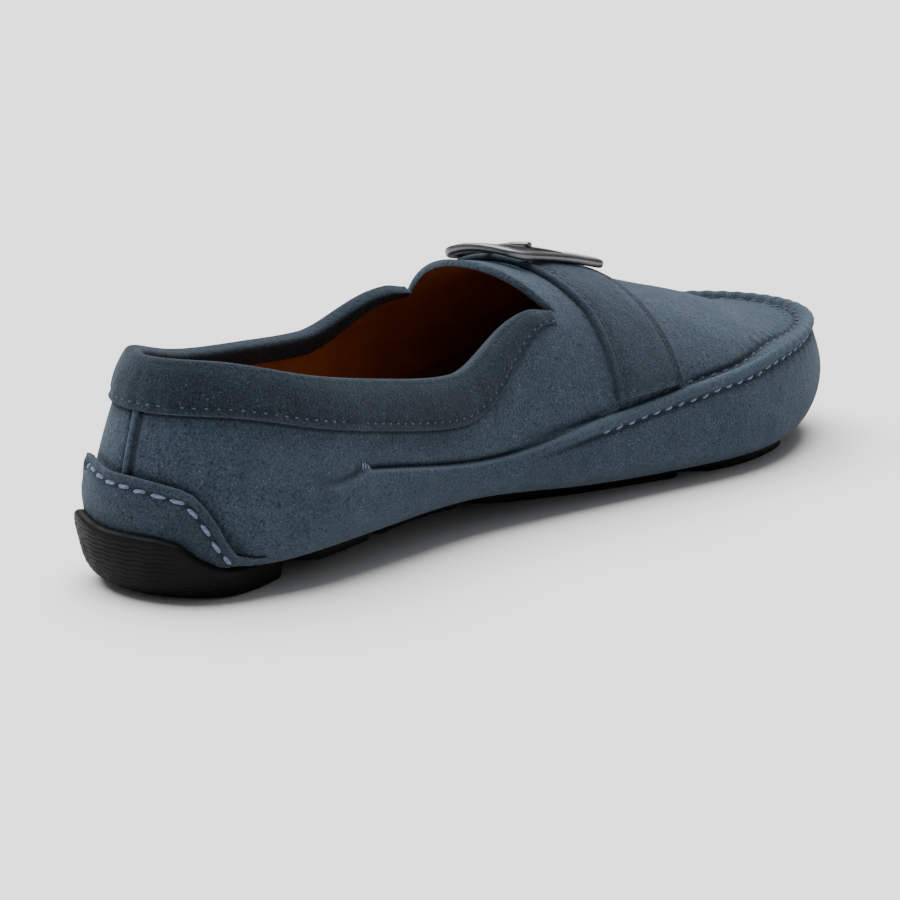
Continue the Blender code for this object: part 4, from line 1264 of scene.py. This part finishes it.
def make_heel_rubber():
    """Moulded heel: ridged face turned up round the back, flat block notched in front."""
    loops = []
    worn = []
    for side, angle in round_the_heel(HEEL_REACH, 110):
        guides = heel_profile(side, angle)
        x, y = inset_point(side, np.array([angle]), guides[2, 0], 0.0)[0, :2]
        if (side == MEDIAL and x + y > HEEL_SUM) or (side == LATERAL and x - y > HEEL_DIFFERENCE):
            continue
        run = lengths_along(guides)
        fine = np.linspace(0, run[-1], 120)
        smooth = np.stack([natural_spline(run, guides[:, i])(fine) for i in range(2)], axis=-1)
        smooth[:, 1] = np.maximum(smooth[:, 1], 0.0)
        along = np.gradient(smooth, axis=0)
        along /= np.linalg.norm(along, axis=1, keepdims=True)
        weave = RIDGE_WEAVE * (angle * side)
        wave = np.cos(tau * (fine - 2.0 + 0.2 * np.sin(weave)) / RIDGE_PITCH)
        wave = wave * (0.75 + 0.25 * np.cos(weave + pi * fine / RIDGE_PITCH))
        fade = smoothstep((fine - 3.0) / 1.5) * smoothstep((run[-1] - 1.6 - fine) / 1.0)
        fade = fade * (1 - smoothstep((distance_at(angle) - 8.0) / 9.0))
        ridge = RIDGE_HIGH * wave * fade
        inset = smooth[:, 0] - along[:, 1] * ridge
        height = np.maximum(smooth[:, 1] + along[:, 0] * ridge * 0.3, 0.0)
        loop = inset_point(side, np.full(len(inset), angle), inset, height)
        lip_inset, lip_height = guides[-1]
        back_heights = np.array([lip_height, lip_height - 0.3, min(lip_height - 0.6, HEEL_TOP)])
        back = inset_point(side, np.full(3, angle), lip_inset + np.array([0.9, 1.8, 2.6]), back_heights)
        loops.append(np.concatenate([loop, back]))
        # Painted highlight with wear on the ridges' crests
        worn.append(np.concatenate([0.35 * np.maximum(wave, 0) * fade, np.zeros(3)]))
    loops = np.array(loops)
    rows, columns = loops.shape[:2]
    notch = ((HEEL_SUM + HEEL_DIFFERENCE) / 2, (HEEL_SUM - HEEL_DIFFERENCE) / 2)
    points = np.concatenate([loops.reshape(-1, 3), [[*notch, 0.0], [*notch, HEEL_TOP]]])
    low = rows * columns
    faces = grid_faces(rows, columns)
    last = (rows - 1) * columns
    faces.append(tuple([i * columns for i in range(rows)] + [low]))
    faces.append(tuple(([i * columns + columns - 1 for i in range(rows)] + [low + 1])[::-1]))
    faces.append(tuple([low, low + 1] + list(range(columns))[::-1]))
    faces.append(tuple([low + 1, low] + [last + j for j in range(columns)]))
    piece = add_piece("heel_moulding", points, faces, RUBBER,
                      {"worn": np.concatenate([np.array(worn).ravel(), [0.0, 0.0]])})
    tidy(piece)
    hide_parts("heel_rubber")
    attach(piece, "root")


# Treads
TREAD_RELIEF = 0.5
TREAD_PITCH = 2.3
TREAD_WEAVE = 4.4


def tread_height(x):
    return np.maximum(CURVES["sole"](x) - TREAD_DROP, 0.0)


def drawn_in(rim, amount):
    """Outline drawn in towards its middle by an amount."""
    centre = rim.mean(axis=0)
    return centre + (rim - centre) * (1 - amount / np.linalg.norm(rim - centre, axis=1, keepdims=True))


def make_tread(row):
    """Rubber tread with a rounded edge and slanting wave ridges moulded on its face."""
    name, turn = row[0], row[5]
    rim = tread_outline(row, TREAD_EDGE, 2.2, 1.4)
    centre = rim.mean(axis=0)
    way = np.array([np.cos(turn), np.sin(turn)])
    if "outer" in name:
        way[1] = -way[1]
    cross = np.array([-way[1], way[0]])
    reach = np.abs(rim - centre).sum(axis=1).max()
    rows = np.arange(-reach, reach, TREAD_PITCH / 4)
    steps = np.arange(-reach, reach, 1.25)
    v, u = np.meshgrid(rows, steps, indexing="ij")
    extra = centre + u.reshape(-1, 1) * way + v.reshape(-1, 1) * cross
    extra = extra[inside_outline(drawn_in(rim, 1.6), extra)]
    inner_rim = drawn_in(rim, 0.9)
    plan, triangles = fill_plan([inner_rim], extra)
    triangles = triangles[inside_outline(inner_rim, plan[triangles].mean(axis=1))]
    local = plan - centre
    along = local @ way
    over = local @ cross
    weave = np.sin(tau * along / TREAD_WEAVE)
    wave = np.cos(tau * (over + 0.6 * weave) / TREAD_PITCH)
    wave = wave * (0.75 + 0.25 * np.cos(tau * (along / TREAD_WEAVE + over / TREAD_PITCH / 2)))
    count = len(inner_rim)
    wave[:count] = 1.0
    ground = tread_height(plan[:, 0])
    face = np.column_stack([plan, ground + TREAD_RELIEF * (1 - wave) / 2])
    rim_low = np.column_stack([rim, tread_height(rim[:, 0]) + 0.75])
    mid = drawn_in(rim, 0.28)
    rim_mid = np.column_stack([mid, tread_height(mid[:, 0]) + 0.24])
    rim_top = np.column_stack([rim, CURVES["sole"](rim[:, 0]) + WALL])
    start = len(face)
    points = np.concatenate([face, rim_mid, rim_low, rim_top])
    faces = triangles.tolist()
    for first, second in ((0, start), (start, start + count), (start + count, start + 2 * count)):
        for i in range(count):
            k = (i + 1) % count
            faces.append((first + i, first + k, second + k, second + i))
    faces.append(tuple(start + 2 * count + i for i in range(count)))
    # Painted highlight with wear on the ridge crests and the rounded rim
    rim_wear_and_highlight = [np.full(count, share) for share in (0.6, 0.25, 0.0)]
    worn = np.concatenate([0.8 * np.maximum(wave, 0.0) ** 2] + rim_wear_and_highlight)
    piece = add_piece(name + "_block", points, faces, RUBBER, {"worn": worn})
    tidy(piece)
    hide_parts(name)
    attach(piece, "root")


# Windows where the tan edge shows; in the others it is darkened with painted shade
TAN_SHOWS = ("tread_toe", "tread_inner_ball", "tread_inner_joint")
TAN_WIDER = 1.03
TAN_RISE = 0.9


def make_midsole():
    """Tan leather that shows as an edge between the suede and the treads."""
    points = []
    faces = []
    deep = []
    for row, window in zip(TREADS, WINDOWS):
        centre = window.mean(axis=0)
        wide = centre + (window - centre) * TAN_WIDER
        start = len(points)
        # Painted shade: light where the tan edge shows, heavy in the other windows
        deep += [0.2 if row[0] in TAN_SHOWS else 1.4] * len(wide)
        points += [(x, y, CURVES["sole"](x) + TAN_RISE) for x, y in wide]
        faces.append(tuple(range(start, start + len(wide))))
    piece = add_piece("midsole_edge", np.array(points, float), faces, TAN_EDGE, {"deep": deep})
    with editing(piece) as work:
        bmesh.ops.triangulate(work, faces=work.faces)
        for face in work.faces:
            if face.normal.z > 0:
                face.normal_flip()
    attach(piece, "root")


# Strap and buckle
STRAP_FROM = 158.0
STRAP_TO = 184.0
STRAP_THICK = 1.8
STRAP_CLEAR = 0.3
STRAP_STITCH = 2.6
STRAP_ROUND = 0.7
STRAP_SPAN = 0.99
BUCKLE_LENGTH = 35.0
BUCKLE_WIDTH = 30.0
BUCKLE_BAR = 3.6
BUCKLE_SHIFT = 4.0
BUCKLE_CORNER = 5.0
BUCKLE_THICK = 2.4
BAR_RADIUS = 1.2
PRONG_RADIUS = 1.0
STRAP_TOP = STRAP_CLEAR + STRAP_THICK


def make_strap():
    """Suede strap over the vamp with rounded edges and a stitched groove along each."""
    across = np.linspace(-STRAP_SPAN, STRAP_SPAN, 96)
    profile = []
    for turn in np.linspace(-pi / 2, pi / 2, 7):
        profile.append((STRAP_TO + STRAP_ROUND * (np.cos(turn) - 1), 0.5 + 0.5 * np.sin(turn)))
    for share in np.linspace(1, 0, 22)[1:-1]:
        profile.append((STRAP_FROM + (STRAP_TO - STRAP_FROM) * share, 1.0))
    for turn in np.linspace(pi / 2, -pi / 2, 7):
        profile.append((STRAP_FROM + STRAP_ROUND * (1 - np.cos(turn)), 0.5 + 0.5 * np.sin(turn)))
    for share in np.linspace(0, 1, 10)[1:-1]:
        profile.append((STRAP_FROM + (STRAP_TO - STRAP_FROM) * share, 0.0))
    profile = np.array(profile)
    from_edge = np.minimum(profile[:, 0] - STRAP_FROM, STRAP_TO - profile[:, 0])
    stitch = hump(from_edge - STRAP_STITCH, 0.7) * profile[:, 1]
    out = STRAP_CLEAR + STRAP_THICK * profile[:, 1] - 0.4 * stitch - 0.5 * (1 - profile[:, 1])
    plump = 0.35 * smoothstep((from_edge - 3.0) / 5.0) * profile[:, 1]
    turns = angle_at(profile[:, 0])
    loops = np.stack([vamp_offset(turns, np.full(len(turns), u), out + plump) for u in across])
    # Painted highlight with wear on the rounded edges; painted shade in the stitch grooves
    marks = np.broadcast_to(0.6 * hump(from_edge, 0.6) * profile[:, 1], loops.shape[:2])
    dark = np.broadcast_to(0.45 * stitch, loops.shape[:2])
    # The strap uses the darker suede copy, its darkness painted shade
    piece = add_piece("strap_suede", loops.reshape(-1, 3), closed_loops(loops), SUEDE_PAINTED_SHADE,
                      {"worn": marks.ravel(), "deep": dark.ravel()})
    tidy(piece)
    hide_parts("strap")
    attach(piece, "root")
    return piece


STRAP_MIDDLE = (STRAP_FROM + STRAP_TO) / 2


def on_strap(along, sideways, out):
    """Point over the strap: along the shoe and across it from the buckle's middle."""
    angle = angle_at(STRAP_MIDDLE)
    share = 0.9
    span = float(vamp_point(angle, share)[1] - vamp_point(angle, -share)[1])
    across = 2 * share * (np.asarray(sideways) + BUCKLE_SHIFT) / span
    return vamp_offset(angle_at(STRAP_MIDDLE + np.asarray(along)), across, out)


def lay_on_strap(piece, rest):
    """Bend a flat modelled piece, in millimetres, down onto the strap."""
    count = len(piece.data.vertices)
    flat = np.empty(count * 3)
    piece.data.vertices.foreach_get("co", flat)
    flat = flat.reshape(-1, 3)
    laid = (on_strap(flat[:, 0], flat[:, 1], rest + flat[:, 2]) + SHIFT) * MM
    piece.data.vertices.foreach_set("co", laid.ravel())
    piece.data.update()


def soften_edges(piece, width, segments):
    """Round the sharp edges of the piece that is active."""
    bevel = piece.modifiers.new("soft_edges", "BEVEL")
    bevel.width = width
    bevel.segments = segments
    bevel.limit_method = "ANGLE"
    bevel.angle_limit = radians(50)
    bpy.ops.object.modifier_apply(modifier="soft_edges")


def divide(cuts):
    """Divide every edge of the active piece so that it can bend."""
    bpy.ops.object.mode_set(mode="EDIT")
    bpy.ops.mesh.select_all(action="SELECT")
    bpy.ops.mesh.subdivide(number_cuts=cuts)
    bpy.ops.object.mode_set(mode="OBJECT")


def make_buckle():
    """Plain frame with a centre bar, modelled flat, rounded and bent to the strap."""
    bpy.ops.mesh.primitive_plane_add(size=1.0)
    piece = bpy.context.object
    piece.name = "buckle_frame"
    piece.scale = (BUCKLE_LENGTH, BUCKLE_WIDTH, 1.0)
    bpy.ops.object.transform_apply(location=False, rotation=False, scale=True)
    bpy.ops.object.mode_set(mode="EDIT")
    bpy.ops.mesh.select_all(action="SELECT")
    bpy.ops.mesh.bevel(offset=BUCKLE_CORNER, segments=6, affect="VERTICES")
    bpy.ops.mesh.inset(thickness=BUCKLE_BAR)
    bpy.ops.mesh.delete(type="FACE")
    bpy.ops.mesh.select_all(action="SELECT")
    bpy.ops.mesh.extrude_region_move(TRANSFORM_OT_translate={"value": (0.0, 0.0, BUCKLE_THICK)})
    bpy.ops.object.mode_set(mode="OBJECT")
    with editing(piece) as work:
        bmesh.ops.recalc_face_normals(work, faces=work.faces)
        long_edges = [e for e in work.edges if e.calc_length() > 6.0]
        bmesh.ops.subdivide_edges(work, edges=long_edges, cuts=7, use_grid_fill=True)
    soften_edges(piece, 0.8, 3)
    lay_on_strap(piece, STRAP_TOP + 0.55)

    bpy.ops.mesh.primitive_cylinder_add(vertices=16, radius=BAR_RADIUS, depth=BUCKLE_LENGTH - 4.0,
                                        rotation=(0, pi / 2, 0))
    bar = bpy.context.object
    bar.name = "buckle_bar"
    bpy.ops.object.transform_apply(location=False, rotation=True, scale=False)
    divide(3)
    lay_on_strap(bar, STRAP_TOP + 1.75)

    bpy.ops.mesh.primitive_cylinder_add(vertices=14, radius=PRONG_RADIUS, depth=BUCKLE_WIDTH / 2 + 1.6,
                                        rotation=(pi / 2, 0, 0), location=(0.0, BUCKLE_WIDTH / 4 - 0.4, 0.0))
    prong = bpy.context.object
    prong.name = "buckle_prong"
    bpy.ops.object.transform_apply(location=True, rotation=True, scale=False)
    soften_edges(prong, 0.5, 2)
    divide(2)
    lay_on_strap(prong, STRAP_TOP + 3.2)

    for part in (piece, bar, prong):
        layer = part.data.attributes.new("worn", "FLOAT", "POINT")
        layer.data.foreach_set("value", np.full(len(part.data.vertices), 0.12, np.float32))
        part.data.materials.append(GUNMETAL)
        part.data.shade_smooth()
        tidy(part, 0.001)
        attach(part, "root")
        bpy.ops.object.select_all(action="DESELECT")
    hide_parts("buckle")


# Stitches: how far their rows lie from the seam's roll or from a window's edge, and their pitch
WALL_ROW = -2.9
APRON_ROW = 2.8
WINDOW_ROW = 2.3
BAND_PITCH = 3.1
STRAP_PITCH = 3.0
WINDOW_PITCH = 3.3

# Tacks of the dart: distance in front of it and height
TACKS = ((-0.3, 29.6), (0.5, 29.2), (1.3, 28.8))
TACK_WAY = (0.35, 0.0, 0.93)


def stitch_form():
    """One plump stitch along X, one unit long and one wide."""
    bpy.ops.mesh.primitive_uv_sphere_add(segments=8, ring_count=6, radius=0.5, rotation=(0, pi / 2, 0))
    form = bpy.context.object
    bpy.ops.object.transform_apply(location=False, rotation=True, scale=False)
    points = np.array([v.co[:] for v in form.data.vertices])
    swell = np.abs(2 * points[:, 0])
    points[:, 1:] *= (1.0 + 0.35 * swell * (1 - swell) * 2)[:, None]
    faces = [tuple(p.vertices) for p in form.data.polygons]
    bpy.data.objects.remove(form, do_unlink=True)
    bpy.ops.object.select_all(action="DESELECT")
    return points, faces


STITCH_POINTS, STITCH_FACES = stitch_form()


def resample(line, pitch):
    """Places and directions at an even pitch along a line of points."""
    run = lengths_along(line)
    count = max(int(run[-1] / pitch), 1)
    spots = (np.arange(count) + 0.5) * run[-1] / count
    place = np.stack([np.interp(spots, run, line[:, i]) for i in range(3)], axis=-1)
    ahead = np.stack([np.interp(spots + 0.4, run, line[:, i]) for i in range(3)], axis=-1)
    behind = np.stack([np.interp(spots - 0.4, run, line[:, i]) for i in range(3)], axis=-1)
    way = ahead - behind
    return place, way / np.linalg.norm(way, axis=1, keepdims=True)


def lay_stitches(name, runs, material, length, width, tree, rise, slant=0.0):
    """Stitches laid on a surface along runs of places and directions."""
    points = []
    faces = []
    number = 0
    for place, way in runs:
        for spot, direction in zip(place, way):
            near, normal, _, _ = tree.find_nearest(Vector((spot + SHIFT) * MM))
            normal = np.array(normal)
            spot_on = np.array(near) / MM - SHIFT
            side = np.cross(normal, direction)
            side /= np.linalg.norm(side)
            sway = 0.10 * np.sin(number * 2.4) + slant
            ahead = np.cross(side, normal) + side * sway
            ahead /= np.linalg.norm(ahead)
            side = np.cross(normal, ahead)
            long = length * (1 + 0.08 * np.sin(number * 1.7))
            form = STITCH_POINTS[:, :1] * long * ahead + STITCH_POINTS[:, 1:2] * width * side
            form = form + STITCH_POINTS[:, 2:] * width * 0.8 * normal
            bow = -0.35 * width * (2 * STITCH_POINTS[:, :1]) ** 2 * normal
            start = len(points) * len(STITCH_POINTS)
            points.append(spot_on + rise * normal + form + bow)
            faces += [tuple(start + i for i in f) for f in STITCH_FACES]
            number += 1
    piece = add_piece(name, np.concatenate(points), faces, material)
    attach(piece, "root")


def seam_run(side, offset, start):
    """Line beside the seam at a distance along the surface, from a place forward to the toe."""
    angles = np.linspace(angle_at(start), pi, 260)
    grid, from_seam, _ = side_grid(side, angles)
    toe = toe_share(distance_at(angles))
    offsets = offset + ROLL_SHIFT * toe
    line = np.array([[np.interp(beside, run, place[:, k]) for k in range(3)]
                     for beside, run, place in zip(offsets, from_seam, grid)])
    if offset < 0:
        return line
    square = inset_point(side, angles, reading("seam_inset", angles) + offsets, line[:, 2])
    return line + (square - line) * toe[:, None]


def make_stitching(upper, collar, stations, flap, flap_line, strap):
    """Every run of stitches, laid on the finished pieces."""
    on_upper = surface_of(upper)
    on_collar = surface_of(collar)
    on_flap = surface_of(flap)
    on_strap_skin = surface_of(strap)
    heel = resample(flap_line, WRAP_PITCH)
    lay_stitches("heel_stitches", [heel], PALE_THREAD, 4.2, 1.25, on_flap, 0.2, 0.12)
    band = np.array([on_side(s, BAND_STITCH * band_share(s[3]), 1.2) for s in stations])
    band = resample(band, BAND_PITCH)
    lay_stitches("collar_stitches", [band], BAND_THREAD, 1.25, 0.46, on_collar, 0.0)
    wall = []
    apron = []
    for side in (MEDIAL, LATERAL):
        wall.append(resample(seam_run(side, WALL_ROW, TUCK_FROM), PUCKER))
        apron.append(resample(seam_run(side, APRON_ROW, TUCK_FROM), PUCKER))
    lay_stitches("seam_stitches", wall, PALE_THREAD, 3.0, 0.95, on_upper, 0.1, 0.25)
    lay_stitches("apron_stitches", apron, DARK_THREAD, 3.2, 1.0, on_upper, 0.1, 0.25)
    edge = []
    for x in (STRAP_FROM + STRAP_STITCH, STRAP_TO - STRAP_STITCH):
        across = np.linspace(-0.97, 0.97, 120)
        edge.append(resample(vamp_offset(np.full(120, angle_at(x)), across, STRAP_THICK), STRAP_PITCH))
    lay_stitches("strap_stitches", edge, DARK_THREAD, 2.0, 0.55, on_strap_skin, 0.1)
    rows = []
    for row in TREADS:
        ring = tread_outline(row, TREAD_EDGE - WINDOW_CLEAR - WINDOW_ROW, 4.0)
        ring = np.concatenate([ring, ring[:1]])
        line = np.column_stack([ring, bottom_height(ring[:, 0])])
        rows.append(resample(line, WINDOW_PITCH))
    lay_stitches("window_stitches", rows, DARK_THREAD, 2.1, 0.55, on_upper, 0.08)
    tack = []
    ahead, height = np.array(TACKS).T
    for side in (MEDIAL, LATERAL):
        spot = quarter_point(side, angle_at(DART + ahead), height)
        tack.append((spot, np.tile(TACK_WAY, (len(TACKS), 1))))
    lay_stitches("dart_tacks", tack, PALE_THREAD, 2.6, 0.5, on_upper, 0.2)


# Build the shoe
upper = make_upper()
make_lining()
make_insole()
collar, stations = make_collar()
flap, flap_line = make_heel_wrap()
make_back_seam()
make_heel_rubber()
for tread_row in TREADS:
    make_tread(tread_row)
make_midsole()
strap = make_strap()
make_buckle()
make_stitching(upper, collar, stations, flap, flap_line, strap)


# Studio light, and the camera solved from the photograph: its height and bearing, the shoe's place seen
# from it in millimetres, its lens in photograph pixels, the picture point that it centres and how far it
# enlarges
WORLD_STRENGTH = 0.3
SUN_STRENGTH = 8.4
SUN_SPREAD = radians(70)
SUN_FROM = (0.10, 0.34, 0.94)
PHOTO_SIZE = 900.0
CAMERA_RISE = radians(12.06)
CAMERA_BEARING = radians(90 - 49.93)
SHOE_PLACE = (1.08, -42.65, 936.18)
LENS_PIXELS = 3000.0
CENTRED_ON = (431.0, 548.0)
ENLARGED = 1.08
SENSOR = 36.0


def make_studio():
    """Pale floor, wide soft light from above and the photograph's camera."""
    bpy.ops.mesh.primitive_plane_add(size=30.0)
    floor = bpy.context.object
    floor.name = "floor"
    finish = Finish("floor", Roughness=0.9, Specular_IOR_Level=0.1)
    haze = finish.noise(400.0, 2.0, 0.5)
    shade = finish.mix(haze, rgba(0.79, 0.79, 0.79), rgba(0.81, 0.81, 0.81))
    floor.data.materials.append(finish.feed(Base_Color=shade))

    world = bpy.data.worlds.new("studio")
    world.use_nodes = True
    background = world.node_tree.nodes["Background"]
    background.inputs["Color"].default_value = rgba(1.0, 1.0, 1.0)
    background.inputs["Strength"].default_value = WORLD_STRENGTH
    bpy.context.scene.world = world

    light = bpy.data.lights.new("wide_overhead", "SUN")
    light.energy = SUN_STRENGTH
    light.angle = SUN_SPREAD
    lamp = bpy.data.objects.new("wide_overhead", light)
    lamp.rotation_mode = "QUATERNION"
    lamp.rotation_quaternion = (-Vector(SUN_FROM)).to_track_quat("-Z", "Y")
    bpy.context.scene.collection.objects.link(lamp)

    level = np.array([np.cos(CAMERA_BEARING), np.sin(CAMERA_BEARING), 0.0])
    look = level * np.cos(CAMERA_RISE) + np.array([0.0, 0.0, -np.sin(CAMERA_RISE)])
    right = np.array([np.sin(CAMERA_BEARING), -np.cos(CAMERA_BEARING), 0.0])
    above = np.cross(right, look)
    sideways, up, away = SHOE_PLACE
    eye = -(sideways * right + up * above + away * look) * MM
    aside, down = np.array(CENTRED_ON) - PHOTO_SIZE / 2
    aim = look * LENS_PIXELS + right * aside - above * down
    camera = bpy.data.cameras.new("camera")
    camera.sensor_width = SENSOR
    camera.lens = LENS_PIXELS * ENLARGED / PHOTO_SIZE * SENSOR
    holder = bpy.data.objects.new("camera", camera)
    holder.location = eye
    holder.rotation_mode = "QUATERNION"
    holder.rotation_quaternion = Vector(aim).to_track_quat("-Z", "Y")
    bpy.context.scene.collection.objects.link(holder)
    bpy.context.scene.camera = holder


make_studio()
